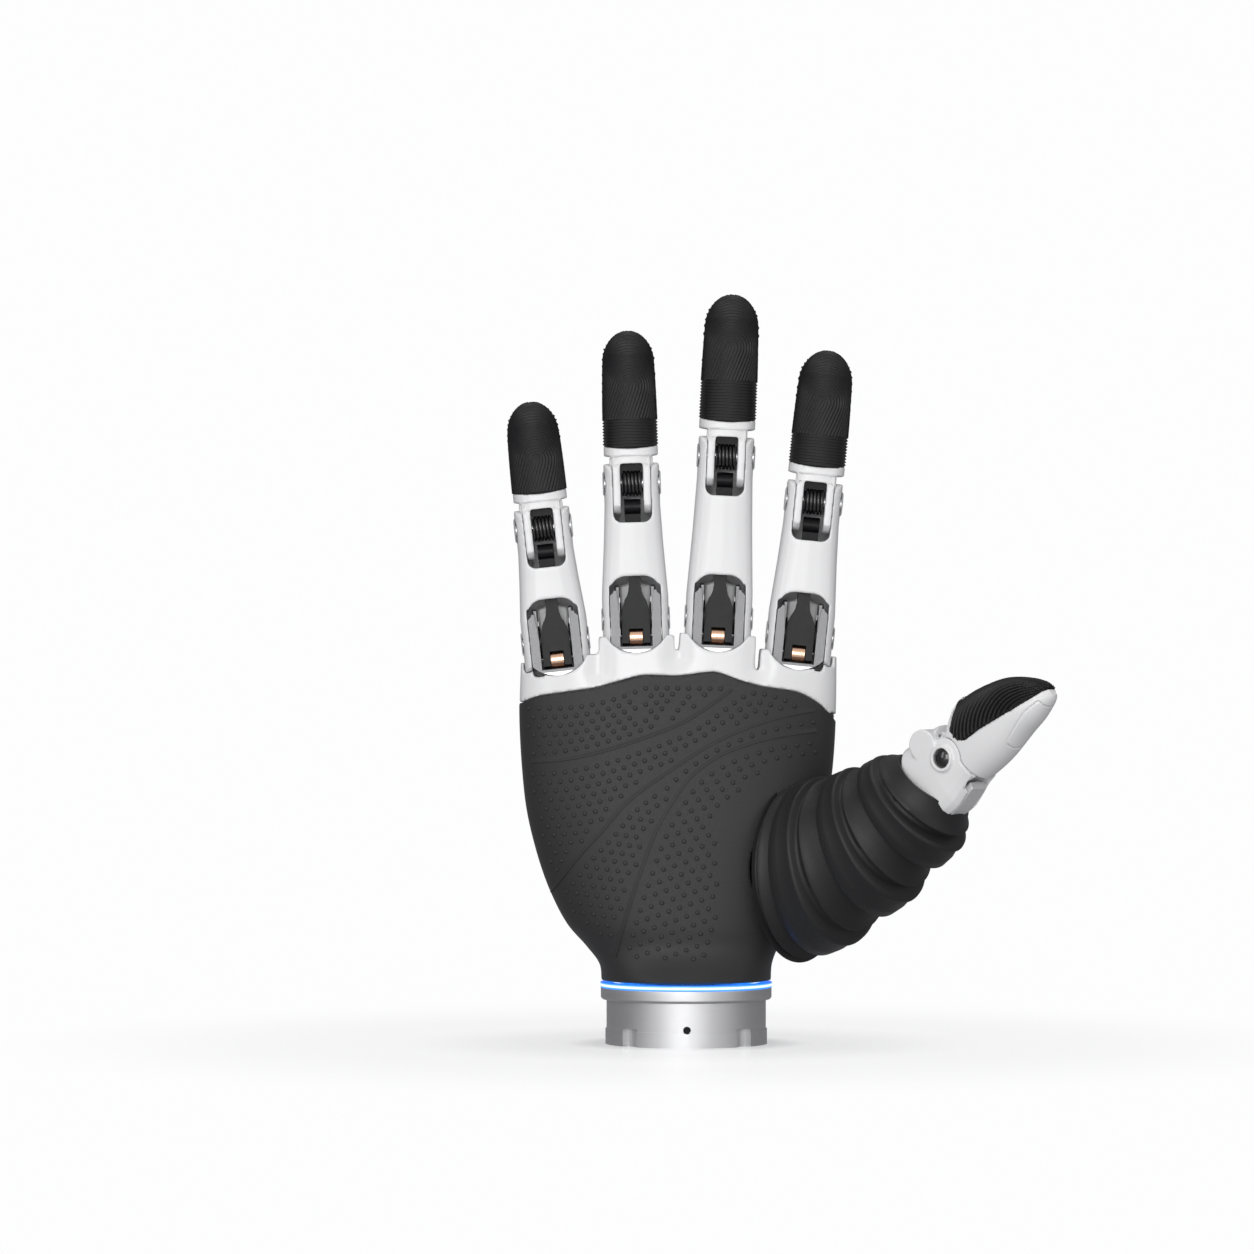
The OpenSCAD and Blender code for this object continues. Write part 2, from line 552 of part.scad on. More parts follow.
// Wedge cleared below the grip side so that the tip can fold
tip_fold = 33;
module tip_relief() across([[0, 0], [-20, 20 * tan(tip_fold)], [-20, -5]]);
module thumb_tip() color("white") at_thumb() translate([0, 0, thumb_link]) difference() {
  union() {
    difference() {
      thumb_form(0.1);
      pad_side(0);
      difference() {
        nail_side();
        thumb_form(0.1 + nail_d);
      }
      for (s = [-1, 1]) hinge(s > 0 ? tongue_half : -12, s > 0 ? 12 : -tongue_half, ear_tip_r + 0.15);
      translate([-14, -12, -2]) cube([14, 24, 5]);
      translate([-eps, -12, -2]) cube([14, 24, 2 + back_rise + 0.15]);
      tip_relief();
    }
    intersection() {
      thumb_form(2.4);
      difference() {
        translate([-20, -20, ear_tip_r + 0.4]) cube([40, 40, thumb_end - 9.6]);
        tip_relief();
      }
    }
    hinge(-tongue_half, tongue_half, tongue_r);
    translate([-1, -tongue_half, 0]) cube([7, 2 * tongue_half, 9]);
  }
  hinge(-12, 12, pin_r + run);
}
module thumb_pad() color("#232324") at_thumb() translate([0, 0, thumb_link]) difference() {
  intersection() {
    thumb_form();
    pad_side(seam);
  }
  thumb_form(2.4 - seam);
}
// Banded rubber sleeve: each band is raised at its lower edge and slips
// under the next one
sleeve_in = 1.4;
// Share of the way at which each band starts; the last is the rim
band_starts = [0, 0.19, 0.5, 0.77, 1];
bands = len(band_starts) - 1;
module sleeve(i0, i1, s0, s1) color("#2d2d2e") loft_shell([for (i = [i0:i1]) sleeve_ring(i, 0)], [for (i = [i0:i1]) sleeve_ring(i, sleeve_in)]);
// Stations along the sleeve: share of the way, radius step within a band
band_profile = [[0, 0.9], [0.15, 1.1], [0.75, 0.5], [0.97, -0.9]];
sleeve_base = [26, -5.5, 44.8];
sleeve_base_r = 22.6;
function thumb_dir() = [cos(thumb_rise) * cos(thumb_turn), -cos(thumb_rise) * sin(thumb_turn), sin(thumb_rise)];
rim_back = 12;
function rim_centre() = thumb_root + thumb_dir() * (thumb_link - rim_back);
sleeve_sag = 15;
sleeve_fan = 30;
function sleeve_mid(t) = sleeve_base + (rim_centre() - sleeve_base) * t - [0, 0, sleeve_sag * t * (1 - t)];
// Ring at one station: tall and narrow at the palm, round at the rim
function sleeve_ring(i, inset) = let (b = floor(i / 4), p = band_profile[i % 4],
  t = band_starts[b] + p[0] * (band_starts[b + 1] - band_starts[b]),
  r = sleeve_base_r + (sleeve_r - sleeve_base_r) * pow(t, 1.15) + p[1] * (1 - 0.4 * t) - inset, c = sleeve_mid(t),
  narrow = 0.8 + 0.17 * t, tilt = 90 - thumb_rise + (1 - t) * sleeve_fan, turn = -thumb_turn - (1 - t) * 5, n = 32)
  [for (k = [0:n - 1]) let (g = 360 * k / n, x = r * cos(g), y = (narrow * (r + inset) - inset) * sin(g))
    c + turn_z([x * cos(tilt), y, -x * sin(tilt)], turn)];
function turn_z(p, a) = [p[0] * cos(a) - p[1] * sin(a), p[0] * sin(a) + p[1] * cos(a), p[2]];
// A tube wall between an outer and an inner stack of rings
module loft_shell(outer, inner) {
  n = len(outer[0]);
  m = len(outer);
  loop = concat(outer, [for (i = [m - 1:-1:0]) inner[i]]);
  q = len(loop);
  polyhedron(points = [for (r = loop) each r], faces = [for (j = [0:q - 1], i = [0:n - 1], h = [0, 1])
    let (a = j * n + i, b = j * n + (i + 1) % n, c = ((j + 1) % q) * n + i, d = ((j + 1) % q) * n + (i + 1) % n)
    h == 0 ? [a, c, b] : [b, c, d]]);
}
split_ring = 8;
module thumb_sleeve_lower() color("#2d2d2e") difference() {
  sleeve(0, split_ring - 1);
  palm_body(-0.35);
}
module thumb_sleeve_upper() sleeve(split_ring, 4 * bands - 1);

wrist_coupling();
wrist_flange();
light_ring();
palm_frame();
palm_skin();
back_cover();
finger_motors();
control_board();
wrist_plug();
cover_screws();
for (f = [0:3]) {
  name = fingers[f][0];
  knuckle(f);
  knuckle_pin(f);
  lever(f);
  roller(f);
  casing(f);
  middle_pin(f);
  spring(f);
  coupler(f);
  tip(f);
  pad(f);
}
thumb_carrier();
thumb_sleeve_lower();
thumb_sleeve_upper();
thumb_arm();
thumb_axle();
thumb_root_pin();
thumb_tip_pin();
thumb_strap();
thumb_tip();
thumb_pad();
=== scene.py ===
# Dexterous robot hand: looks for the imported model, in metres, in the model's own frame.
import json
import math
import bmesh
import bpy
from mathutils import Matrix, Vector
from mathutils.bvhtree import BVHTree

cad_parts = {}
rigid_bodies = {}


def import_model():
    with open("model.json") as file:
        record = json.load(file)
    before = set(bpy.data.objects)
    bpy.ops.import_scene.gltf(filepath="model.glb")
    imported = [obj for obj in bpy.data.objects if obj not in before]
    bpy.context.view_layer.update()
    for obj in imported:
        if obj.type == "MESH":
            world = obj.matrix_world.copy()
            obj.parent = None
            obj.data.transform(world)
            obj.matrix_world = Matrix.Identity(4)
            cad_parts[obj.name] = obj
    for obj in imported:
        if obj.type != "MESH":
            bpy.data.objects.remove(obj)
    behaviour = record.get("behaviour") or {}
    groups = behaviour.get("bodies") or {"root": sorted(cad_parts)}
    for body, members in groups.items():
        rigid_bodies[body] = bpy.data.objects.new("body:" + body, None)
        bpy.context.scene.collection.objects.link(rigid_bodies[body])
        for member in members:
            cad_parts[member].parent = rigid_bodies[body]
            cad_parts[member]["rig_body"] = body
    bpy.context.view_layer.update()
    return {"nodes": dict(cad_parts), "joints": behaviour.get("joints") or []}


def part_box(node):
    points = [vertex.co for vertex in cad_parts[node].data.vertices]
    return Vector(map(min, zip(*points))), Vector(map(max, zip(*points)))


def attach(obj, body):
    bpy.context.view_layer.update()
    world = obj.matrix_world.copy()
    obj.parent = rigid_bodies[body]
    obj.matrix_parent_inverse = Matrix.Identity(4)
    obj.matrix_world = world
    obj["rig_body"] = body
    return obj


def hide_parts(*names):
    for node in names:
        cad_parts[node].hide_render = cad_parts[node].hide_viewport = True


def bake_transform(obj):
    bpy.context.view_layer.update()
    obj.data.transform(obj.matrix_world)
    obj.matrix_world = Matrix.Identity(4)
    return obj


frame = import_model()
mm = 0.001

# ---- Camera ----
# A long lens far in front of the palm, level with the middle of the picture, so that the fingers are seen
# straight on and the wrist a little from above.
camera_data = bpy.data.cameras.new("camera")
camera_data.lens = 176
camera_data.sensor_width = 36
camera_data.clip_end = 20
camera = bpy.data.objects.new("camera", camera_data)
bpy.context.scene.collection.objects.link(camera)
camera.location = (-15.6 * mm, -1616 * mm, 109.7 * mm)
camera.rotation_euler = (math.radians(90), 0, 0)
bpy.context.scene.camera = camera
bpy.context.scene.view_settings.view_transform = "Standard"


# ---- Floor and backdrop ----
# A white studio: a slightly glossy floor disc, 0.6 m across, fades into a white surround. Only the disc
# takes the shadow and a faint reflection, and the surround lights the hand from all sides. The disc's grey,
# most opaque close round the foot, is also painted shade there: a darker ring like a contact shadow.
def new_material(name):
    """A material with one Principled shader, and short ways to reach its nodes."""
    material = bpy.data.materials.new(name)
    material.use_nodes = True
    tree = material.node_tree
    return material, tree, tree.nodes["Principled BSDF"]


def add_node(tree, kind, inputs, **settings):
    """Adds a node, sets its options and feeds its inputs from values or from other sockets."""
    node = tree.nodes.new(kind)
    for key, value in settings.items():
        setattr(node, key, value)
    for key, value in inputs.items():
        if isinstance(value, bpy.types.NodeSocket):
            tree.links.new(value, node.inputs[key])
        else:
            node.inputs[key].default_value = value
    return node


def as_piece(bm, name):
    """Makes a finished bmesh an object of the scene."""
    mesh = bpy.data.meshes.new(name)
    bm.to_mesh(mesh)
    bm.free()
    piece = bpy.data.objects.new(name, mesh)
    bpy.context.scene.collection.objects.link(piece)
    return piece


FLOOR_RADIUS = 300 * mm
FADE_REACH = 200 * mm
# Painted shade: the grey floor is most opaque within 21 mm of the axis and clears towards 190 mm, so the
# floor round the foot looks darker.
FADE_START, FADE_STEPS, FADE_END = (0.105, 0.45), ((0.17, 0.72), (0.4, 0.88)), 0.95
floor_material, tree, shader = new_material("studio_floor")
shader.inputs["Base Color"].default_value = (0.88, 0.88, 0.88, 1)
shader.inputs["Roughness"].default_value = 0.16
shader.inputs["Specular IOR Level"].default_value = 0.5
place = add_node(tree, "ShaderNodeTexCoord", {})
reach = add_node(tree, "ShaderNodeVectorMath", {0: place.outputs["Object"]}, operation="LENGTH")
share = add_node(tree, "ShaderNodeMapRange", {"Value": reach.outputs["Value"], "From Max": FADE_REACH})
fade = add_node(tree, "ShaderNodeValToRGB", {"Fac": share.outputs["Result"]})
fade.color_ramp.interpolation = "EASE"
fade.color_ramp.elements[0].color = (FADE_START[1], FADE_START[1], FADE_START[1], 1)
fade.color_ramp.elements[0].position = FADE_START[0]
fade.color_ramp.elements[1].position = FADE_END
for where, level in FADE_STEPS:
    fade.color_ramp.elements.new(where).color = (level, level, level, 1)
clear = add_node(tree, "ShaderNodeBsdfTransparent", {})
mixed = add_node(tree, "ShaderNodeMixShader",
                 {0: fade.outputs["Color"], 1: shader.outputs[0], 2: clear.outputs[0]})
tree.links.new(mixed.outputs[0], tree.nodes["Material Output"].inputs["Surface"])
bm = bmesh.new()
bmesh.ops.create_circle(bm, cap_ends=True, segments=96, radius=FLOOR_RADIUS)
floor = as_piece(bm, "studio_floor")
floor.data.materials.append(floor_material)

# The camera sees the surround as plain white. Everything else gets a studio that is bright in front, dim at
# the sides and white again behind, so that rounded shells shade off towards their edges.
world = bpy.data.worlds.new("studio")
world.use_nodes = True
bpy.context.scene.world = world
tree = world.node_tree
place = add_node(tree, "ShaderNodeTexCoord", {})
facing = add_node(tree, "ShaderNodeVectorMath", {0: place.outputs["Generated"], 1: (0.0, -0.95, 0.3)},
                  operation="DOT_PRODUCT")
studio = add_node(tree, "ShaderNodeValToRGB", {"Fac": facing.outputs["Value"]})
studio.color_ramp.elements[0].color = (0.22, 0.22, 0.23, 1)
studio.color_ramp.elements[1].color = (0.85, 0.85, 0.85, 1)
studio.color_ramp.elements.new(0.3).color = (0.25, 0.25, 0.26, 1)
rays = add_node(tree, "ShaderNodeLightPath", {})
colour = add_node(tree, "ShaderNodeMix", data_type="RGBA", inputs={
    "Factor": rays.outputs["Is Camera Ray"], "A": studio.outputs["Color"], "B": (0.985, 0.985, 0.988, 1)})
backdrop = tree.nodes["Background"]
tree.links.new(colour.outputs["Result"], backdrop.inputs["Color"])


# ---- Lamps ----
# A large soft panel beside the camera, one at each side, one overhead and a low strip that stands for the
# light thrown up by the floor: bright fronts on the shells, and a soft shade on their sides.
def soft_panel(name, where, target, size, power):
    """A rectangular softbox lamp that faces a point."""
    data = bpy.data.lights.new(name, "AREA")
    data.shape = "RECTANGLE"
    data.size = size[0]
    data.size_y = size[1]
    data.energy = power
    lamp = bpy.data.objects.new(name, data)
    bpy.context.scene.collection.objects.link(lamp)
    lamp.location = where
    lamp.rotation_euler = (Vector(target) - Vector(where)).to_track_quat("-Z", "Y").to_euler()


soft_panel("camera_panel", (-0.25, -1.5, 0.45), (0, 0, 0.11), (0.7, 0.7), 6.5)
soft_panel("left_panel", (-0.8, -0.7, 0.5), (0, 0, 0.11), (0.3, 0.8), 1.6)
soft_panel("right_panel", (0.8, -0.5, 0.4), (0, 0, 0.11), (0.3, 0.8), 0.8)
soft_panel("top_panel", (0.0, 0.1, 0.95), (0, 0, 0.1), (0.8, 0.5), 2.0)
soft_panel("floor_bounce", (0.0, -0.9, 0.005), (0, 0, 0.1), (0.9, 0.04), 0.9)


# ---- Wrist coupling and flange ----
# Two rings of turned aluminium, 45 mm across, that plug into the arm. Lathe marks run round their axis and
# stretch the highlights sideways, and every edge is broken by 0.2 mm, as a lathe tool leaves it.
FLAT_ANGLE = math.radians(1)
BEVEL_ANGLE = math.radians(35)
SMOOTH_ANGLE = math.radians(32)


def take_place(piece, node, material):
    """The piece stands for a CAD node: same body, its own material, and the node is hidden."""
    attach(piece, frame["nodes"][node]["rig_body"])
    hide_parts(node)
    piece.data.materials.clear()
    piece.data.materials.append(material)
    return piece


def joined_copy(node, name):
    """A copy of a CAD node with its doubled corners joined."""
    bm = bmesh.new()
    bm.from_mesh(frame["nodes"][node].data)
    bmesh.ops.remove_doubles(bm, verts=bm.verts, dist=0.002 * mm)
    return as_piece(bm, name)


def settle_modifiers(piece):
    """Turns a piece's modifiers into its final mesh."""
    mesh = bpy.data.meshes.new_from_object(piece.evaluated_get(bpy.context.evaluated_depsgraph_get()))
    piece.modifiers.clear()
    piece.data = mesh
    return piece


def machined(node, material, edge=0.12 * mm):
    """A hard piece: the node's own shape, flat areas made one face each and sharp edges bevelled."""
    piece = joined_copy(node, node + "_machined")
    bm = bmesh.new()
    bm.from_mesh(piece.data)
    bmesh.ops.dissolve_limit(bm, angle_limit=FLAT_ANGLE, verts=bm.verts, edges=bm.edges)
    sharp = [e for e in bm.edges if e.is_manifold and e.calc_face_angle(0) > BEVEL_ANGLE]
    bmesh.ops.bevel(bm, geom=sharp, offset=edge, offset_type="OFFSET", affect="EDGES", segments=2,
                    profile=0.5, material=-1, clamp_overlap=True)
    for face in bm.faces:
        face.smooth = True
    bm.to_mesh(piece.data)
    bm.free()
    piece.data.set_sharp_from_angle(angle=SMOOTH_ANGLE)
    even = piece.modifiers.new("even_normals", "WEIGHTED_NORMAL")
    even.keep_sharp = True
    return take_place(settle_modifiers(piece), node, material)


turned_aluminium, tree, shader = new_material("turned_aluminium")
place = add_node(tree, "ShaderNodeTexCoord", {})
rings = add_node(tree, "ShaderNodeMapping", {"Vector": place.outputs["Object"], "Scale": (40, 40, 9000)})
lathe = add_node(tree, "ShaderNodeTexNoise",
                 {"Vector": rings.outputs["Vector"], "Scale": 1.0, "Detail": 3.0})
tone = add_node(tree, "ShaderNodeMix", data_type="RGBA", inputs={
    "Factor": lathe.outputs["Fac"], "A": (0.55, 0.55, 0.56, 1), "B": (0.63, 0.63, 0.64, 1)})
tree.links.new(tone.outputs["Result"], shader.inputs["Base Color"])
polish = add_node(tree, "ShaderNodeMapRange",
                  {"Value": lathe.outputs["Fac"], "To Min": 0.36, "To Max": 0.52})
tree.links.new(polish.outputs["Result"], shader.inputs["Roughness"])
relief = add_node(tree, "ShaderNodeBump",
                  {"Height": lathe.outputs["Fac"], "Strength": 0.08, "Distance": 0.1 * mm})
tree.links.new(relief.outputs["Normal"], shader.inputs["Normal"])
shader.inputs["Metallic"].default_value = 1.0
shader.inputs["Anisotropic"].default_value = 0.4
for node in ("wrist_coupling", "wrist_flange"):
    machined(node, turned_aluminium, edge=0.2 * mm)


# ---- Light ring ----
# A clear lens over light-emitting diodes, 1.4 mm high, clamped between the flange and the palm. It is white
# in the middle of its height and blue at its edges, and casts a blue glow on the flange and the palm's foot.
DEEP_BLUE, BLUE, WHITE = (0.01, 0.10, 0.75, 1), (0.03, 0.32, 1.0, 1), (0.85, 0.96, 1.0, 1)
CAST_BLUE = (0.03, 0.28, 1.0, 1)
light_glow, tree, shader = new_material("lit_ring")
low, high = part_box("light_ring")
place = add_node(tree, "ShaderNodeTexCoord", {})
split = add_node(tree, "ShaderNodeSeparateXYZ", {"Vector": place.outputs["Object"]})
level = add_node(tree, "ShaderNodeMapRange",
                 {"Value": split.outputs["Z"], "From Min": low.z, "From Max": high.z})
ramp = add_node(tree, "ShaderNodeValToRGB", {"Fac": level.outputs["Result"]})
ramp.color_ramp.elements[0].color = DEEP_BLUE
ramp.color_ramp.elements[1].color = DEEP_BLUE
for where, colour in ((0.22, BLUE), (0.36, WHITE), (0.64, WHITE), (0.78, BLUE)):
    ramp.color_ramp.elements.new(where).color = colour
rays = add_node(tree, "ShaderNodeLightPath", {})
colour = add_node(tree, "ShaderNodeMix", data_type="RGBA", inputs={
    "Factor": rays.outputs["Is Camera Ray"], "A": CAST_BLUE, "B": ramp.outputs["Color"]})
power = add_node(tree, "ShaderNodeMapRange",
                 {"Value": rays.outputs["Is Camera Ray"], "To Min": 2.2, "To Max": 1.15})
tree.links.new(colour.outputs["Result"], shader.inputs["Emission Color"])
tree.links.new(power.outputs["Result"], shader.inputs["Emission Strength"])
shader.inputs["Base Color"].default_value = (0.10, 0.25, 0.6, 1)
shader.inputs["Roughness"].default_value = 0.2
machined("light_ring", light_glow, edge=0.25 * mm)


# ---- Palm frame, back cover and finger casings ----
# White injection mouldings, satin, with softly rounded edges, screwed and clipped together. Each is its own
# node's shape, resampled to an even skin and relaxed a little, so that every edge gets its moulding radius.
def surface_finish(name, colour, rough, metal=0.0, grain=900, bump=0.02, drift=0.03, coat=0.0, sheen=0.0,
                   spread=0.04, gleam=0.5):
    """A finish with a fine grain in its bump and roughness and a slow drift of tone."""
    material, tree, shader = new_material(name)
    place = add_node(tree, "ShaderNodeTexCoord", {})
    fine = add_node(tree, "ShaderNodeTexNoise",
                    {"Vector": place.outputs["Object"], "Scale": grain, "Detail": 4.0})
    broad = add_node(tree, "ShaderNodeTexNoise",
                     {"Vector": place.outputs["Object"], "Scale": 45.0, "Detail": 3.0})
    low = [channel * (1 - drift) for channel in colour] + [1]
    high = [min(1.0, channel * (1 + drift)) for channel in colour] + [1]
    tone = add_node(tree, "ShaderNodeMix", data_type="RGBA",
                    inputs={"Factor": broad.outputs["Fac"], "A": low, "B": high})
    tree.links.new(tone.outputs["Result"], shader.inputs["Base Color"])
    polish = add_node(tree, "ShaderNodeMapRange", {
        "Value": fine.outputs["Fac"], "From Min": 0.3, "From Max": 0.7,
        "To Min": max(0.02, rough - spread), "To Max": min(1.0, rough + spread)})
    tree.links.new(polish.outputs["Result"], shader.inputs["Roughness"])
    relief = add_node(tree, "ShaderNodeBump",
                      {"Height": fine.outputs["Fac"], "Strength": bump, "Distance": 0.2 * mm})
    tree.links.new(relief.outputs["Normal"], shader.inputs["Normal"])
    shader.inputs["Metallic"].default_value = metal
    shader.inputs["Coat Weight"].default_value = coat
    shader.inputs["Coat Roughness"].default_value = 0.12
    shader.inputs["Sheen Weight"].default_value = sheen
    shader.inputs["Specular IOR Level"].default_value = gleam
    return material


def resampled(node, voxel, rounds):
    """The node's own shape with an even skin and rounded edges, not yet standing for the node."""
    piece = joined_copy(node, node + "_moulding")
    resample = piece.modifiers.new("even_skin", "REMESH")
    resample.mode = "VOXEL"
    resample.voxel_size = voxel
    relax = piece.modifiers.new("edge_radius", "SMOOTH")
    relax.factor = 0.5
    relax.iterations = rounds
    settle_modifiers(piece)
    piece.data.shade_smooth()
    return piece


def share_of(value, start, end):
    """How far a value lies on the way from a start to an end, as a share from 0 to 1."""
    return min(1, max(0, (value - start) / (end - start)))


def on_curve(a, b, c, d, t):
    """The place at share t of the way from b to c, on a soft curve past four places."""
    return 0.5 * (2 * b + (c - a) * t + (2 * a - 5 * b + 4 * c - d) * t * t
                  + (3 * b - a - 3 * c + d) * t * t * t)


def faired(rows, place=Matrix.Identity(4)):
    """A smooth skin through rounded sections, as a tree to settle on. A row gives a section's height,
    half-widths to +X and -X, half-depths to -Y and +Y, squareness and centre, in millimetres."""
    sides, steps = 160, 10
    ends = [tuple(2 * a - b for a, b in zip(rows[0], rows[1]))] + list(rows)
    ends += [tuple(2 * a - b for a, b in zip(rows[-1], rows[-2]))]
    sections = []
    for before, start, end, after in zip(ends, ends[1:], ends[2:], ends[3:]):
        for step in range(steps):
            sections.append([on_curve(*four, step / steps) for four in zip(before, start, end, after)])
    sections.append(rows[-1])
    points = []
    for z, right, left, front, back, square, middle_x, middle_y in sections:
        for side in range(sides):
            c, s = math.cos(2 * math.pi * side / sides), math.sin(2 * math.pi * side / sides)
            x = math.copysign(abs(c) ** (2 / square), c) * max(0.01, right if c > 0 else left)
            y = math.copysign(abs(s) ** (2 / square), s) * max(0.01, back if s > 0 else front)
            points.append(place @ (Vector((middle_x + x, middle_y + y, z)) * mm))
    faces = []
    for low in range(0, (len(sections) - 1) * sides, sides):
        for side in range(sides):
            other = (side + 1) % sides
            faces.append((low + side, low + other, low + sides + other, low + sides + side))
    return BVHTree.FromPolygons(points, faces)


# How squarely a place on a piece faces its form where it starts to move, and where it moves all the way.
STARTS_TO_FACE, FACES = 0.55, 0.85


def settle_on(piece, tree, reach=1.3 * mm, skip=lambda spot: False):
    """Moves a piece's outer skin onto the faired form that it was cut from, except where it is skipped."""
    for vertex, normal in zip(piece.data.vertices, [v.normal.copy() for v in piece.data.vertices]):
        spot, facing, _, _ = tree.find_nearest(vertex.co, reach)
        if spot is not None and not skip(vertex.co):
            vertex.co = vertex.co.lerp(spot, share_of(normal.dot(facing), STARTS_TO_FACE, FACES))
    return piece


# The palm's sections: height over its foot, half-widths to the right and to the left, and fullness in depth.
PALM_FOOT = 16.6
PALM_ROWS = ((0.0, 22.3, 22.3, 1), (4.5, 22.6, 22.9, 0.98), (9.0, 24.3, 26.2, 1.02),
             (15.0, 27.6, 31.4, 1.03), (23.0, 31.2, 35.6, 1.02), (32.0, 34.2, 38.9, 1),
             (44.0, 36.8, 41.9, 0.97), (56.0, 38.6, 43.3, 0.92), (70.0, 39.5, 44.0, 0.85),
             (83.0, 39.7, 43.7, 0.76), (96.0, 39.7, 43.5, 0.7))


def palm_form(inset):
    """The palm's outer form, held in by an inset."""
    rows = []
    for z, right, left, fullness in PALM_ROWS:
        deep = right - 0.9 * z if z < 5 else 11.4 + 5.6 * max(0, (fullness - 0.7) / 0.33)
        square = 2 if z < 1 else 2.5
        rows.append((PALM_FOOT + z, right - inset, left - inset, deep - inset, deep - inset, square, 0, 0))
    return faired(rows)


# The wavy seam between the frame and the skin, below the knuckles, as (x, z). Its corners are eased over a
# few millimetres of its length, and what lies close above and below moves with it.
SEAM = ((-50, 88), (-43.5, 89.6), (-39, 91.6), (-24, 93.7), (-12, 97.1), (-2, 96.8), (7.6, 98.1),
        (14, 95.6), (20, 94), (29, 92.8), (33.3, 90.6), (36.5, 88.3), (38.4, 85), (50, 82))
SEAM_REACH, SEAM_HOLD = 4 * mm, 1.6
WAVE_REACH = 3.2 * mm
BELL = [math.exp(-((k - 8) / 4.5) ** 2) for k in range(17)]
BELL = [w / sum(BELL) for w in BELL]


def height_at(line, x):
    """Height of a line of (x, z) points at x."""
    for (x0, z0), (x1, z1) in zip(line, line[1:]):
        if x <= x1:
            break
    return z0 + (z1 - z0) * share_of(x, x0, x1)


def ease_edge(piece):
    """Turns the corners of the wavy seam into one soft wave."""
    line = [(x * mm, z * mm) for x, z in SEAM]
    soft = []
    for step in range(101):
        x = (step - 50) * mm
        soft.append((x, sum(height_at(line, x + WAVE_REACH * (k - 8) / 8) * w for k, w in enumerate(BELL))))
    for vertex in piece.data.vertices:
        height = height_at(line, vertex.co.x)
        near = 1 - abs(vertex.co.z - height) / SEAM_REACH
        if near > 0 and vertex.co.y < 0:
            vertex.co.z += (height_at(soft, vertex.co.x) - height) * min(1, near * SEAM_HOLD)
    return piece


# The valleys between neighbouring knuckle cups: the foot of the slot that parts each pair, as (x, z).
VALLEYS = ((-23.1, 98.4), (-2.2, 102.5), (19.0, 99.5))
VALLEY_DEPTH = 1.5 * mm
VALLEY_WIDTH = 3 * mm


def hollowed(piece):
    """Sinks a soft valley between each pair of knuckle cups."""
    for vertex in piece.data.vertices:
        if vertex.co.y > -10 * mm:
            continue
        for x, z in VALLEYS:
            fall = share_of(vertex.co.z, (z - 9) * mm, (z - 1) * mm)
            across = math.exp(-((vertex.co.x - x * mm) / VALLEY_WIDTH) ** 2)
            vertex.co.y += VALLEY_DEPTH * fall * fall * across
    return piece


FINGERS = ("little", "ring", "middle", "index")
white_shell = surface_finish("white_satin_shell", (0.76, 0.76, 0.765), 0.30, grain=700, bump=0.012,
                             drift=0.008, coat=0.15, spread=0.02)
frame_skin = ease_edge(settle_on(resampled("palm_frame", 0.53 * mm, 3), palm_form(0.1)))
take_place(hollowed(frame_skin), "palm_frame", white_shell)
take_place(settle_on(resampled("back_cover", 0.65 * mm, 5), palm_form(0.2)), "back_cover", white_shell)
for finger in FINGERS:
    take_place(resampled(finger + "_casing", 0.34 * mm, 3), finger + "_casing", white_shell)


# ---- Knuckle housings and hinge pins ----
# Bead-blasted steel housings with a slot for the lever. A bright crescent at each cup's foot is a painted
# highlight.
# Polished pins are pressed through them, and their round heads show on the sides of the fingers.
# The painted highlight crescent: its radius round the hinge, how far in front of the hinge its two faces lie,
# and its arc.
HIGHLIGHT_RADIUS = 8.95 * mm
HIGHLIGHT_BACK, HIGHLIGHT_FRONT = 3.4 * mm, 4.7 * mm
HIGHLIGHT_ARC = [math.radians(-118 + 4 * step) for step in range(15)]


def hinge_frame(name):
    """Where a joint sits, its hinge line towards +X, and the way from it to the end of a straight finger."""
    joint = next(j for j in frame["joints"] if j["name"] == name)
    across = Vector(joint["axis"]).normalized()
    if across.x < 0:
        across = -across
    return Vector(joint["pos_m"]), across, across.cross(Vector((0, 1, 0))).normalized()


def join_loops(bm, loops, closed=False):
    """Walls between neighbouring loops of corners, and a lid on each end of a row that isn't closed."""
    faces = []
    for first, second in zip(loops, loops[1:] + (loops[:1] if closed else [])):
        for corner in range(len(first)):
            other = (corner + 1) % len(first)
            faces.append(bm.faces.new((first[corner], first[other], second[other], second[corner])))
    if not closed:
        faces += [bm.faces.new(loops[0]), bm.faces.new(list(reversed(loops[-1])))]
    return faces


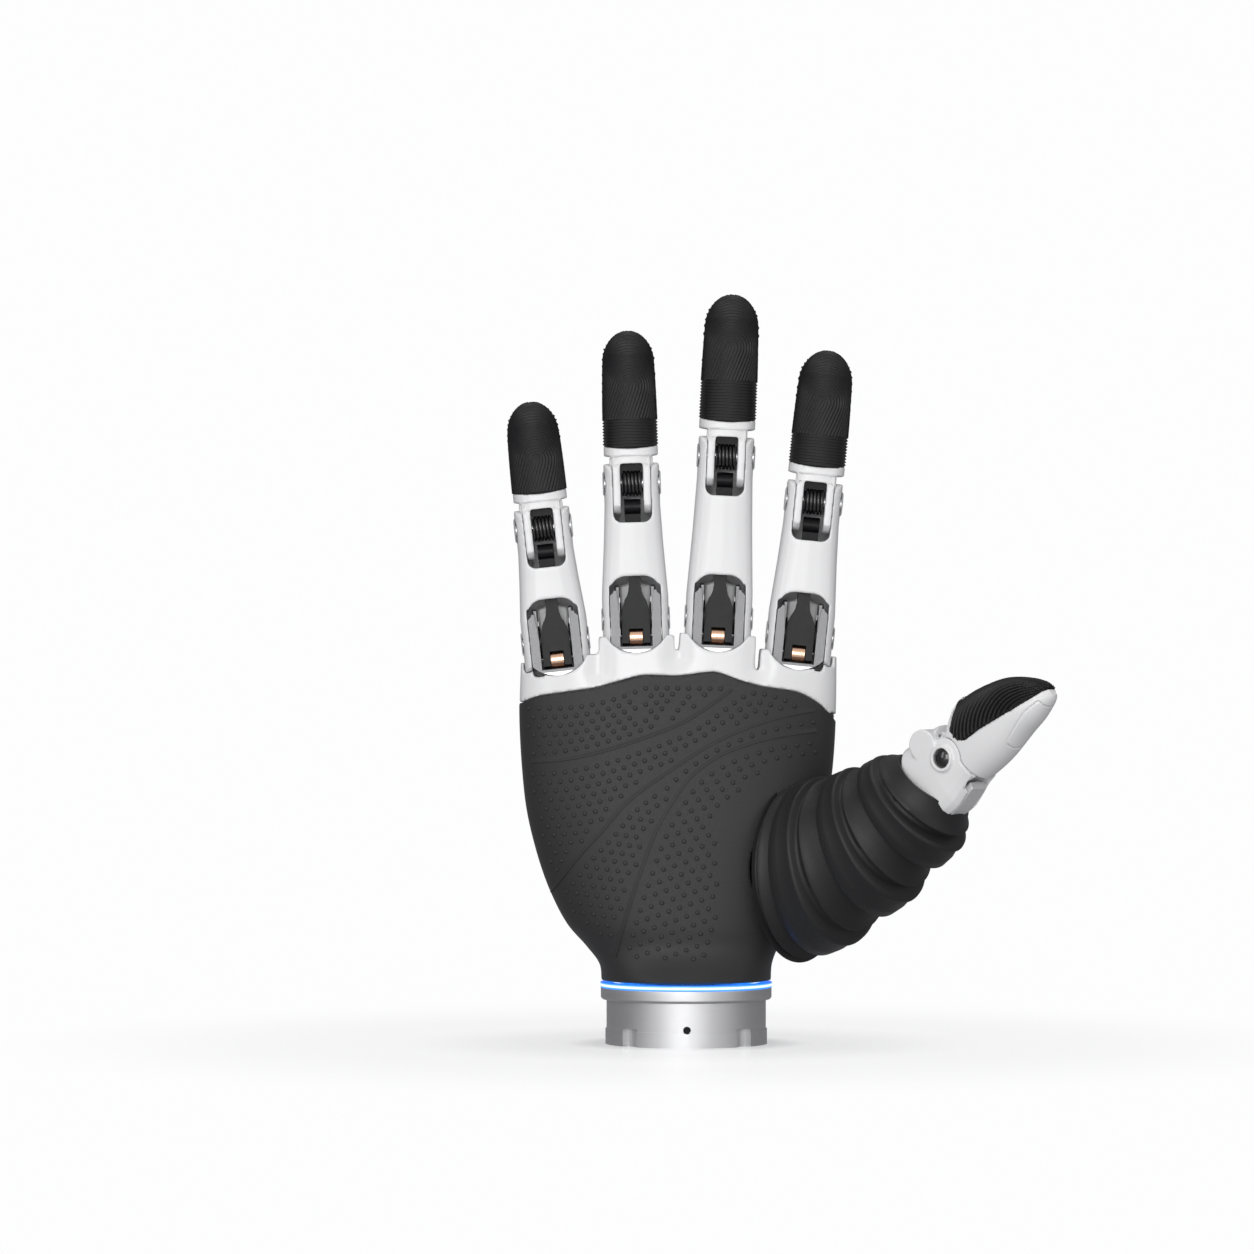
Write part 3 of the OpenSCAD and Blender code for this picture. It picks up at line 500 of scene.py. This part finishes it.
knuckle_metal = surface_finish("blasted_knuckle_metal", (0.21, 0.21, 0.215), 0.45, metal=1.0, grain=3000,
                               bump=0.10)
pin_steel = surface_finish("polished_pin_steel", (0.85, 0.85, 0.86), 0.36, metal=0.7, grain=1500, bump=0.03)
for finger in FINGERS:
    knuckle = machined(finger + "_knuckle", knuckle_metal, edge=0.25 * mm)
    origin, across, along = hinge_frame(finger + "_knuckle_bend")
    bm = bmesh.new()
    bm.from_mesh(knuckle.data)
    # Painted highlight: a thin bright steel crescent just in front of the housing's lower curve, lit as that
    # curve would be.
    arc = [origin + (across * math.cos(angle) + along * math.sin(angle)) * HIGHLIGHT_RADIUS for angle in HIGHLIGHT_ARC]
    highlight_plate = join_loops(bm, [[bm.verts.new(spot - Vector((0, deep, 0))) for spot in arc]
                           for deep in (HIGHLIGHT_BACK, HIGHLIGHT_FRONT)])
    bmesh.ops.recalc_face_normals(bm, faces=highlight_plate)
    for face in highlight_plate:
        face.material_index = 1
    bm.to_mesh(knuckle.data)
    bm.free()
    knuckle.data.materials.append(pin_steel)
    machined(finger + "_knuckle_pin", pin_steel, edge=0.15 * mm)
    machined(finger + "_middle_pin", pin_steel, edge=0.15 * mm)
machined("thumb_root_pin", pin_steel)


# ---- Drive levers, bronze rollers and push rods ----
# Coated black levers with a forked foot, each round a plain bronze roller, and gloss-black push rods. A black
# spacer on each side of a lever covers the hinge pin, and a guard plate closes the slot behind the roller.
SPACER_RADIUS = 4.4 * mm
SPACER_WIDTH = 0.4 * mm
SPACER_GAP = 3.96 * mm
GUARD_PLACE, GUARD_SIZE = (0, 2.9, -3.4), (7.6, 0.4, 5.2)


def hinge_stand(origin, across, along):
    """Sets a shape at a joint: its X along the hinge, Y to the back of the hand, Z to the fingertip."""
    return Matrix.Translation(origin) @ Matrix((across, Vector((0, 1, 0)), along)).transposed().to_4x4()


def add_block(bm, stand, place, size):
    """A block, with its place on a stand and its size in millimetres."""
    shape = Matrix.Translation(Vector(place) * mm) @ Matrix.Diagonal((*(Vector(size) * mm), 1))
    return bmesh.ops.create_cube(bm, size=1, matrix=stand @ shape)["verts"]


def add_disc(bm, centre, axis, radius, width):
    """A round disc or sleeve about an axis."""
    stand = Matrix.Translation(centre) @ axis.to_track_quat("Z", "Y").to_matrix().to_4x4()
    return bmesh.ops.create_cone(bm, cap_ends=True, segments=48, radius1=radius, radius2=radius, depth=width,
                                 matrix=stand)["verts"]


lever_coat = surface_finish("black_lever_coat", (0.016, 0.016, 0.017), 0.45, grain=1200, bump=0.06,
                            gleam=0.25)
bronze = surface_finish("bronze_roller", (0.93, 0.58, 0.40), 0.22, metal=1.0, grain=1500, bump=0.04)
gloss_black = surface_finish("gloss_black_plastic", (0.006, 0.006, 0.007), 0.12, bump=0.01, coat=0.7)
rod_black = surface_finish("black_rod_plastic", (0.005, 0.005, 0.006), 0.3, bump=0.03, gleam=0.15)
for finger in FINGERS:
    machined(finger + "_lever", lever_coat, edge=0.3 * mm)
    origin, across, along = hinge_frame(finger + "_knuckle_bend")
    bm = bmesh.new()
    for side in (-1, 1):
        add_disc(bm, origin + across * side * SPACER_GAP, across, SPACER_RADIUS, SPACER_WIDTH)
    add_block(bm, hinge_stand(origin, across, along), GUARD_PLACE, GUARD_SIZE)
    spacers = as_piece(bm, finger + "_spacers")
    spacers.data.materials.append(rod_black)
    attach(spacers, frame["nodes"][finger + "_lever"]["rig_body"])
    machined(finger + "_roller", bronze, edge=0.1 * mm)
    machined(finger + "_coupler", rod_black, edge=0.2 * mm)


# ---- Springs ----
# Torsion springs of glossy black wire, 0.84 mm thick, wound five and a half times round a black sleeve on
# each middle pin, below a black stop. Both ends are tucked towards the tongue's cheeks.
WIRE_RADIUS, WIRE_SIDES = 0.42 * mm, 12
COIL_RADIUS, COIL_PITCH, COIL_STEPS = 3.1 * mm, 0.95 * mm, 200
TURNS = 5.5
CORE_RADIUS, CORE_WIDTH = 2.75 * mm, 5.3 * mm
STOP_PLACE, STOP_SIZE = (0, -1.2, 4.1), (5.7, 1.6, 1.8)
spring_wire = surface_finish("black_spring_wire", (0.008, 0.008, 0.009), 0.14, grain=1200, bump=0.02,
                             coat=0.8)
for finger in FINGERS:
    origin, across, along = hinge_frame(finger + "_tip_bend")
    back = across.cross(along)
    bm = bmesh.new()
    loops = []
    for step in range(COIL_STEPS + 1):
        share = step / COIL_STEPS
        angle = 2 * math.pi * TURNS * share + 0.5 * math.pi
        spoke = along * math.cos(angle) + back * math.sin(angle)
        centre = origin + across * (share - 0.5) * TURNS * COIL_PITCH + spoke * COIL_RADIUS
        loop = []
        for side in range(WIRE_SIDES):
            around = 2 * math.pi * side / WIRE_SIDES
            reach = spoke * math.cos(around) + across * math.sin(around)
            loop.append(bm.verts.new(centre + reach * WIRE_RADIUS))
        loops.append(loop)
    join_loops(bm, loops)
    plain = add_disc(bm, origin, across, CORE_RADIUS, CORE_WIDTH)
    plain += add_block(bm, hinge_stand(origin, across, along), STOP_PLACE, STOP_SIZE)
    bm.faces.index_update()
    flats = {face.index for corner in plain for face in corner.link_faces}
    bmesh.ops.recalc_face_normals(bm, faces=bm.faces)
    coil = as_piece(bm, finger + "_coil")
    coil.data.shade_smooth()
    coil.data.set_sharp_from_angle(angle=math.radians(40))
    take_place(coil, finger + "_spring", spring_wire)
    coil.data.materials.append(rod_black)
    for face in coil.data.polygons:
        face.material_index = 1 if face.index in flats else 0


# ---- Palm skin ----
# One moulding of dark silicone, fixed over the front of the palm. Three crease lips, 0.38 mm high, follow the
# folds of a human palm: each rises gently on the fingers' side and drops sharply on the other. Between them
# stand staggered rows of grip studs, 1.2 mm across, that run along the creases.
def along_line(points, pitch, shift=0.0):
    """Points at an even pitch along a polyline, each with the line's direction there."""
    placed, travelled, wanted = [], 0.0, shift
    for start, end in zip(points, points[1:]):
        length = (end - start).length
        while wanted <= travelled + length and length > 0:
            placed.append((start.lerp(end, (wanted - travelled) / length), (end - start) / length))
            wanted += pitch
        travelled += length
    return placed


def smooth_line(pairs):
    """A soft curve through a few places on the palm's plan, as points 0.5 mm apart."""
    corners = [Vector(pair) * mm for pair in pairs]
    ends = [corners[0] * 2 - corners[1]] + corners + [corners[-1] * 2 - corners[-2]]
    fine = []
    for four in zip(ends, ends[1:], ends[2:], ends[3:]):
        fine += [on_curve(*four, step / 10) for step in range(10)]
    fine.append(corners[-1])
    return [point for point, _ in along_line(fine, 0.5 * mm)]


def distance_to(point, line):
    """Distance from a point to a polyline."""
    return min((point - other).length for other in line)


def shifted(line, gap):
    """A polyline's parallel on its right-hand side, a gap away."""
    moved = []
    for before, here, after in zip([line[0]] + line, line, line[1:] + [line[-1]]):
        ahead = (after - before).normalized()
        moved.append(here + Vector((ahead.y, -ahead.x)) * gap)
    return moved


# The three creases on the palm's plan, as (x, z), from the little finger's side.
UPPER_CREASE = ((-40.6, 74), (-31.5, 74.8), (-22.2, 76.8), (-14.2, 79.3), (-1.8, 84), (6.2, 88.9),
                (12.3, 93.4))
crease_1 = smooth_line(UPPER_CREASE)
crease_2 = smooth_line(((-35.5, 40), (-33, 43.1), (-27.4, 50.2), (-21.4, 56.7), (-14.2, 64.7), (-1.7, 73.6),
                        (6.2, 78.6), (14.2, 82.4), (22.2, 85.2), (30.2, 87), (34.2, 87.6)))
crease_3 = smooth_line(((-18.4, 23.4), (-15.1, 35.3), (-11.6, 46), (-7.6, 56.7), (-1.7, 66.6), (2.2, 71.3),
                        (8.9, 75.9), (16.9, 79), (24.9, 80.9), (34.2, 82.2)))
palm_rubber = surface_finish("palm_silicone", (0.025, 0.025, 0.026), 0.5, grain=1600, bump=0.10, sheen=0.03,
                             gleam=0.3)
palm_skin = ease_edge(settle_on(resampled("palm_skin", 0.5 * mm, 6), palm_form(0)))
bm = bmesh.new()
bm.from_mesh(palm_skin.data)
skin = BVHTree.FromBMesh(bm)


def on_skin(x, z):
    """The skin's front surface and its outward direction at a place on the palm's plan."""
    hit, normal, _, _ = skin.ray_cast(Vector((x, -80 * mm, z)), Vector((0, 1, 0)))
    return hit, normal


# The lips: a closed profile of eight corners, (across, high) in millimetres, swept along each crease.
LIP = [(-1.3, -0.12), (-1.25, 0.03), (-0.9, 0.05), (-0.5, 0.2), (-0.15, 0.38), (0.0, 0.34), (0.05, -0.05),
       (0.05, -0.4)]
for line in (crease_1, crease_2, crease_3):
    loops = []
    for before, here, after in zip([line[0]] + line, line, line[1:] + [line[-1]]):
        hit, normal = on_skin(here.x, here.y)
        if hit is None:
            continue
        ahead = Vector((after.x - before.x, 0, after.y - before.y)).normalized()
        side = ahead.cross(normal).normalized()
        loops.append([bm.verts.new(hit + side * (u * mm) + normal * (h * mm)) for u, h in LIP])
    join_loops(bm, loops)


# The studs' rows. Above the first crease they spread evenly between the knuckles and the crease; below each
# crease they run parallel to it, and they stop short of the next one.
def right_of(place, line):
    """Whether a place lies on a line's right-hand side."""
    near = min(range(len(line) - 1), key=lambda i: (line[i] - place).length_squared)
    ahead, away = line[near + 1] - line[near], place - line[near]
    return ahead.x * away.y - ahead.y * away.x < 0


# A stud's profile as (radius, height), in millimetres, and what keeps it clear of the others and of edges.
STUD = [(0.63, -0.15), (0.62, 0.12), (0.54, 0.25), (0.38, 0.33), (0.19, 0.37)]
STUD_SIDES = 12
STUD_GAP = 2.05 * mm
STUD_FOOT = 1.1 * mm
STEEPEST = 2.4 * mm
STUD_PITCH, HALF_PITCH, ROW_PITCH = 2.85 * mm, 1.42 * mm, 2.3
studs = []


def add_row(line, pitch, shift, allowed):
    """Studs along a line, where they are allowed, clear of each other and of the skin's edges."""
    for place, _ in along_line(line, pitch, shift):
        if not allowed(place) or any((place - other).length < STUD_GAP for other in studs):
            continue
        around = [on_skin(place.x + x * STUD_FOOT, place.y + z * STUD_FOOT)[0]
                  for x, z in ((0, 0), (1, 0), (-1, 0), (0, 1), (0, -1))]
        if None in around or max(hit.y for hit in around) - min(hit.y for hit in around) > STEEPEST:
            continue
        studs.append(place)
        hit, normal = on_skin(place.x, place.y)
        turn = normal.to_track_quat("Z", "Y")
        angles = [2 * math.pi * side / STUD_SIDES for side in range(STUD_SIDES)]
        join_loops(bm, [[bm.verts.new(hit + turn @ Vector((r * math.cos(a), r * math.sin(a), h)) * mm)
                         for a in angles] for r, h in STUD])


top_row = smooth_line(((-39.6, 88.4), (-30.4, 88.6), (-24.4, 89.4), (-18.6, 90.9), (-13.2, 92.8),
                       (-10.3, 93.7), (7.9, 93.6)))
foot_row = shifted(crease_1, -2.5 * mm)
for row in range(6):
    for column in range(19):
        x = (-41.5 + 2.8 * (column + 0.5 * (row % 2))) * mm
        place = Vector((x, height_at(top_row, x) * (1 - row / 5) + height_at(foot_row, x) * row / 5))
        add_row([place, place + Vector((0.01 * mm, 0))], 1, 0,
                lambda p: p.x < 10 * mm and distance_to(p, crease_1) > 1.9 * mm)
upper_guide = smooth_line(UPPER_CREASE + ((17, 95.3), (22.6, 94.7), (28.3, 92.6), (33, 89)))
for row in range(14):
    add_row(shifted(upper_guide, (3 + ROW_PITCH * row) * mm), STUD_PITCH, (row % 2) * HALF_PITCH,
            lambda p: distance_to(p, crease_2) > 2.2 * mm and distance_to(p, crease_1) > 2.4 * mm
            and not right_of(p, crease_2) and p.y > crease_2[0].y)
between = [(a + min(crease_3, key=lambda b: (a - b).length)) / 2 for a in crease_2 if a.x > -8 * mm]
add_row(between, 3.3 * mm, 0, lambda p: p.x < 34.5 * mm)
for row in range(9):
    add_row(shifted(crease_2, (2.9 + ROW_PITCH * row) * mm), STUD_PITCH, (row % 2) * HALF_PITCH,
            lambda p: distance_to(p, crease_3) > 2.0 * mm and distance_to(p, crease_2) > 2.4 * mm
            and not right_of(p, crease_3) and p.y > crease_3[0].y)
for row in range(9):
    far = (34.5, 34.5, 19, 14, 8.2, 8.2, 8.2, 8.2, 8.2)[row] * mm
    top = (100, 100, 100, 100, 58, 57.2, 56.4, 55.6, 54.8)[row] * mm
    add_row(shifted(crease_3, (2.7 + 2.4 * row) * mm), 3.4 * mm, (row % 2) * 1.7 * mm,
            lambda p: p.x < far and 23 * mm < p.y < top and distance_to(p, crease_3) > 2.3 * mm)
bmesh.ops.recalc_face_normals(bm, faces=bm.faces)
bm.to_mesh(palm_skin.data)
bm.free()
palm_skin.data.shade_smooth()
palm_skin.data.set_sharp_from_angle(angle=math.radians(50))
take_place(palm_skin, "palm_skin", palm_rubber)


# ---- Fingertips and pads ----
# White shells, moulded in one with the tongue of each joint, carry black rubber pads, ridged like a
# fingerprint. A finger's ridges, 0.8 mm apart, loop round a core near its end and lie level at its foot.
RIDGE_PITCH = 0.8 * mm
RIDGE_HEIGHT = 0.1 * mm
PAD_RADIUS = 7.4 * mm
LEVEL_DROP, CORE_DROP = 23 * mm, 14.5 * mm
CORE_LEAN, CORE_CLIMB = 0.34, 0.94
FRONT = Vector((0, -1, 0))
TIPS = {"little": (7.1, 33.4), "ring": (7.15, 40.1), "middle": (7.4, 42.7), "index": (7.4, 39.9)}


def ridged(node, form, origin, along, front, core, amplitude, phase):
    """A pad's own shape on a 0.2 mm grid, its outer skin raised and sunk in ridges. The core is the line that
    the pad bends round: where it starts and ends on the way up, and how far it lies to the front."""
    piece = settle_on(resampled(node, 0.2 * mm, 3), form, 2 * mm)
    across = along.cross(front).normalized()
    for vertex, normal in zip(piece.data.vertices, [v.normal.copy() for v in piece.data.vertices]):
        rel = vertex.co - origin
        rise = rel.dot(along)
        axis_point = origin + along * min(max(rise, core[0]), core[1]) + front * core[2]
        facing = share_of(normal.dot((vertex.co - axis_point).normalized()), 0.35, 0.65)
        if facing > 0:
            swing = math.atan2(rel.dot(across), rel.dot(front) - core[2])
            depth = amplitude * facing * (1 + 1.3 * abs(math.sin(swing)))
            vertex.co += normal * (depth * math.cos(2 * math.pi * phase(rise, swing)))
    piece.data.shade_smooth()
    return piece


def tip_form(width, length, stand):
    """A fingertip's outer form: an upright tube that narrows a little, under a long dome."""
    rows = [(5, width, width, 7.6, 7.6, 3, 0, 3),
            (0.42 * length, 0.99 * width, 0.99 * width, 7.6, 7.6, 2.6, 0, 3),
            (0.66 * length, 0.96 * width, 0.96 * width, 7.4, 7.4, 2.4, 0, 3)]
    for angle in (8, 22, 36, 50, 64, 78, 90):
        c, s = math.cos(math.radians(angle)), math.sin(math.radians(angle))
        side = 0.93 * width * c
        rows.append((length - 1.2 * width * (1 - s), side, side, 7.15 * c, 7.15 * c, 2.2, 0, 3))
    return faired(rows, stand)


tip_rubber = surface_finish("fingertip_rubber", (0.009, 0.009, 0.010), 0.45, grain=1600, bump=0.08,
                            sheen=0.01, gleam=0.3)
for finger in FINGERS:
    origin, across, along = hinge_frame(finger + "_tip_bend")
    top = (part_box(finger + "_pad")[1] - origin).dot(along)

    def finger_phase(rise, swing):
        """Level ridges at the pad's foot; above them loops round a core line that leans to one side."""
        if rise < top - LEVEL_DROP:
            return rise / RIDGE_PITCH
        x, z = swing * PAD_RADIUS, rise - (top - CORE_DROP)
        back = min(0.0, CORE_LEAN * x + CORE_CLIMB * z)
        return math.hypot(x - CORE_LEAN * back, z - CORE_CLIMB * back) / RIDGE_PITCH

    form = tip_form(*TIPS[finger], hinge_stand(origin, across, along))
    take_place(settle_on(resampled(finger + "_tip", 0.34 * mm, 6), form), finger + "_tip", white_shell)
    core = (0, top - PAD_RADIUS, -3 * mm)
    pad = ridged(finger + "_pad", form, origin, along, FRONT, core, RIDGE_HEIGHT, finger_phase)
    take_place(pad, finger + "_pad", tip_rubber)


# ---- Thumb tip and pad ----
# A white moulded shell in one with its hinge block, and a broad black rubber pad on its front. The pad's
# ridges, 1.2 mm apart and 0.4 mm from crest to groove, bow along it and join in loops over its crown.
THUMB_RIDGE_PITCH = 1.2 * mm
THUMB_RIDGE_HEIGHT = 0.2 * mm
THUMB_CORE_RISE, THUMB_CORE_SIDE = 27 * mm, 22 * mm
THUMB_PAD_RADIUS, CROWN_RADIUS = 9 * mm, 1.6 * mm
THUMB_LENGTH = 33.4
THUMB_ROWS = ((0.06, 9.1, 7.9, -0.5), (0.21, 9.9, 8.2, -1.6), (0.4, 9.7, 8.1, -2.5), (0.64, 7.9, 7.3, -3.2),
              (0.78, 6.4, 6.2, -2.9), (0.9, 4.3, 4.5, -2.3), (0.97, 2.6, 2.8, -1.7), (1, 1.3, 1.3, -1.4))
PAD_FOOT = [(x * mm, z * mm) for x, z in ((-20, 14.6), (-7, 6), (-4.4, 5.2), (-2, 6), (-0.8, 8.2),
                                          (-0.7, 60))]
root, hinge, _ = hinge_frame("thumb_bend")
origin, _, _ = hinge_frame("thumb_tip_bend")
thumb_along = (origin - root).normalized()
thumb_front = thumb_along.cross(hinge).normalized()
if thumb_front.z < 0:
    thumb_front = -thumb_front


def thumb_phase(rise, swing):
    """Bowed ridges round a point on each side of the pad's end, joined in loops over its crown."""
    side = math.hypot(swing * THUMB_PAD_RADIUS, CROWN_RADIUS)
    return math.hypot(rise - THUMB_CORE_RISE, THUMB_CORE_SIDE - side) / THUMB_RIDGE_PITCH


def under_pad(spot):
    """Whether a place on the thumb's tip lies below its pad."""
    rel = spot - origin
    return rel.dot(thumb_along) > height_at(PAD_FOOT, -rel.dot(thumb_front))


stand = Matrix((-thumb_front, thumb_along.cross(-thumb_front), thumb_along)).transposed().to_4x4()
rows = [(THUMB_LENGTH * z, half, half, deep, deep, 2.3, lean, 0) for z, half, deep, lean in THUMB_ROWS]
form = faired(rows, Matrix.Translation(origin) @ stand)
thumb_shell = settle_on(resampled("thumb_tip", 0.25 * mm, 5), form, 2 * mm, under_pad)
take_place(thumb_shell, "thumb_tip", white_shell)
core = (0, 24 * mm, 2.5 * mm)
pad = ridged("thumb_pad", form, origin, thumb_along, thumb_front, core, THUMB_RIDGE_HEIGHT, thumb_phase)
take_place(pad, "thumb_pad", tip_rubber)


# ---- Thumb sleeve ----
# A black rubber bellows in four overlapping bands, 45 mm across at the palm and 24 mm at its rim, moulded in
# two halves, one over each of the thumb's two root joints. A skirt at its root closes the port in the palm's
# side.
SLEEVE_STARTS = (0, 0.19, 0.5, 0.77, 1)
SLEEVE_SIDES = 128
SKIRT_START = 0.46
WALL, INSIDE = -1.4, -2.0
ROOT_RADIUS, RIM_RADIUS = 22.6, 12.2
SAG = 15 * mm
PORT_X, PORT_Z, PORT_DEEP, PORT_HIGH = 31, 46.5, 10.4, 17.6
# Each band from its foot, as (share of its length, lift in millimetres): a raised lower edge, a wide strip, a
# groove between two beads, and a strip that slips under the next band.
BAND = ((0, -0.9), (0.005, 0.9), (0.04, 1.3), (0.2, 1.45), (0.36, 1.25), (0.415, 1.65), (0.45, 1.6),
        (0.475, 1.0), (0.495, 0.0), (0.53, -0.4), (0.57, -0.4), (0.595, 0.1), (0.62, 0.75), (0.65, 0.85),
        (0.685, 0.35), (0.8, -0.1), (0.97, -0.9), (1, -0.9))
thumb_climb = math.asin(thumb_along.z)
thumb_turn = math.atan2(thumb_along.y, thumb_along.x)
sleeve_base = Vector((26, -5.5, 44.8)) * mm
sleeve_rim = origin - thumb_along * 9.8 * mm - thumb_front * 1.7 * mm


def eased(share):
    """A share from 0 to 1 that starts and stops softly."""
    return share * share * (3 - 2 * share)


def round_steps():
    """The cosine and sine of each corner of a ring."""
    angles = [2 * math.pi * side / SLEEVE_SIDES for side in range(SLEEVE_SIDES)]
    return [(math.cos(angle), math.sin(angle)) for angle in angles]


def sleeve_ring(t, lift):
    """One ring of the sleeve: wide at the palm and round at the rim, with its relief deepest below."""
    centre = sleeve_base.lerp(sleeve_rim, t) - Vector((0, 0, SAG * t * (1 - t)))
    radius = ROOT_RADIUS + (RIM_RADIUS - ROOT_RADIUS) * t ** 1.15
    tilt = math.radians(90 + 30 * (1 - t) - 22 * t * t) - thumb_climb
    lean = thumb_turn - math.radians(5) * (1 - t)
    place = Matrix.Rotation(lean, 3, "Z") @ Matrix.Rotation(tilt, 3, "Y")
    ring = []
    for c, s in round_steps():
        reach = (radius + lift * (1 + 1.2 * max(0, c) ** 1.5)) * mm
        ring.append(centre + place @ Vector((reach * c, (0.8 + 0.17 * t) * reach * s, 0)))
    return ring


def skirt_ring(t, inset):
    """One ring of the skirt: behind and below, it reaches from the sleeve's foot into the port."""
    ring = []
    for point, (c, s) in zip(sleeve_ring(t, -0.3 - inset), round_steps()):
        port = Vector((PORT_X, (PORT_DEEP - inset) * s, PORT_Z - (PORT_HIGH - inset) * c)) * mm
        ring.append(point.lerp(port, eased(share_of(s, -0.1, 0.4))))
    return ring


sleeve_rubber = surface_finish("sleeve_rubber", (0.015, 0.015, 0.016), 0.46, grain=1400, bump=0.08,
                               sheen=0.02, gleam=0.3)
for node, bands, bodies in (("thumb_sleeve_lower", (0, 1), ("palm", "thumb_base")),
                            ("thumb_sleeve_upper", (2, 3), ("thumb_base", "thumb_link"))):
    stations = []
    for band in bands:
        foot, length = SLEEVE_STARTS[band], SLEEVE_STARTS[band + 1] - SLEEVE_STARTS[band]
        stations += [(foot + length * u, lift) for u, lift in BAND if band > 0 or u >= SKIRT_START]
    low, high = stations[0][0], stations[-1][0]
    stations += [(high, WALL), (high - 0.01, INSIDE), (low + 0.02, INSIDE), (low, WALL)]
    rings = [sleeve_ring(t, lift) for t, lift in stations]
    if 0 in bands:
        rings += [skirt_ring(low, inset) for inset in (1.2, 0)]
    bm = bmesh.new()
    join_loops(bm, [[bm.verts.new(point) for point in ring] for ring in rings], closed=True)
    bmesh.ops.recalc_face_normals(bm, faces=bm.faces)
    sleeve = as_piece(bm, node + "_bands")
    sleeve.data.shade_smooth()
    sleeve.data.set_sharp_from_angle(angle=math.radians(60))
    sleeve.data.materials.append(sleeve_rubber)
    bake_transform(sleeve)
    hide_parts(node)


# ---- Thumb arm, joint caps and strap ----
# The arm's white shell swells towards the back of the thumb, where a thin plated strap runs down in its slot.
# The tip joint's pin ends in two glossy black domes.
SWELL = 3.3 * mm
SLEEVE_MOUTH, ARM_FOOT = -10.4 * mm, -30 * mm
ARM_RADIUS, NECK_RADIUS = 11.5 * mm, 4.8 * mm
GRIP_DEPTH, GRIP_CUT = 4.6 * mm, 5.2 * mm


def swollen(piece):
    """Moves the arm's back outwards, most at the sleeve's rim and not at all beyond the tip joint. Inside the
    sleeve it tapers the arm all round, and its grip side again lower down, to leave room for the sleeve."""
    for vertex in piece.data.vertices:
        rel = vertex.co - origin
        rise = rel.dot(thumb_along)
        share = share_of(-rel.dot(thumb_front), 0, 8 * mm) * share_of(-rise, -5 * mm, 8 * mm)
        share *= share_of(rise, -12.5 * mm, -9.5 * mm)
        vertex.co -= thumb_front * (SWELL * eased(share))
        away = vertex.co - origin - thumb_along * rise
        neck = share_of(-rise, -SLEEVE_MOUTH, -SLEEVE_MOUTH + 5.5 * mm)
        limit = ARM_RADIUS + (NECK_RADIUS - ARM_RADIUS) * neck
        if ARM_FOOT < rise < SLEEVE_MOUTH and away.length > limit:
            vertex.co -= away * (1 - limit / away.length)
        cut = share_of(rise, -48 * mm, -43 * mm) * share_of(-rise, 22 * mm, 28 * mm)
        if cut > 0:
            grip = (vertex.co - origin).dot(thumb_front)
            vertex.co -= thumb_front * max(0, grip - (GRIP_DEPTH - GRIP_CUT * cut))
    return piece


take_place(swollen(resampled("thumb_arm", 0.25 * mm, 8)), "thumb_arm", white_shell)
machined("thumb_tip_pin", gloss_black, edge=0.15 * mm)
strap_steel = surface_finish("brushed_strap", (0.62, 0.62, 0.63), 0.3, metal=0.2, grain=1500, bump=0.03)
take_place(swollen(resampled("thumb_strap", 0.2 * mm, 3)), "thumb_strap", strap_steel)


# ---- Hidden works and fixings ----
# Inside the palm: plated motors and axle, a dark steel thumb carrier, and a green board with a solder mask. A
# gloss-black plug fills the wrist, and dark steel screws hold the cover.
plated_steel = surface_finish("plated_steel", (0.55, 0.55, 0.57), 0.3, metal=1.0, grain=1500, bump=0.05)
dark_steel = surface_finish("dark_steel", (0.16, 0.16, 0.17), 0.35, metal=1.0, grain=1500, bump=0.05)
board_mask = surface_finish("solder_mask", (0.02, 0.14, 0.06), 0.35, bump=0.05, coat=0.3)
machined("thumb_axle", plated_steel)
machined("finger_motors", plated_steel)
machined("thumb_carrier", dark_steel)
machined("cover_screws", dark_steel)
machined("control_board", board_mask)
machined("wrist_plug", gloss_black)


# ---- Painted shade behind the latch hole ----
# A small black plate behind the latch hole, fixed to the inside of the coupling's wall. It is painted shade:
# it makes the hole look dark inside.
SHADE_PLATE_PLACE, SHADE_PLATE_SIZE = (0, -16.1, 4.7), (3, 0.5, 3)
bm = bmesh.new()
add_block(bm, Matrix.Identity(4), SHADE_PLATE_PLACE, SHADE_PLATE_SIZE)
latch_shade_plate = as_piece(bm, "latch_painted_shade")
latch_shade_plate.data.materials.append(rod_black)
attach(latch_shade_plate, frame["nodes"]["wrist_coupling"]["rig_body"])
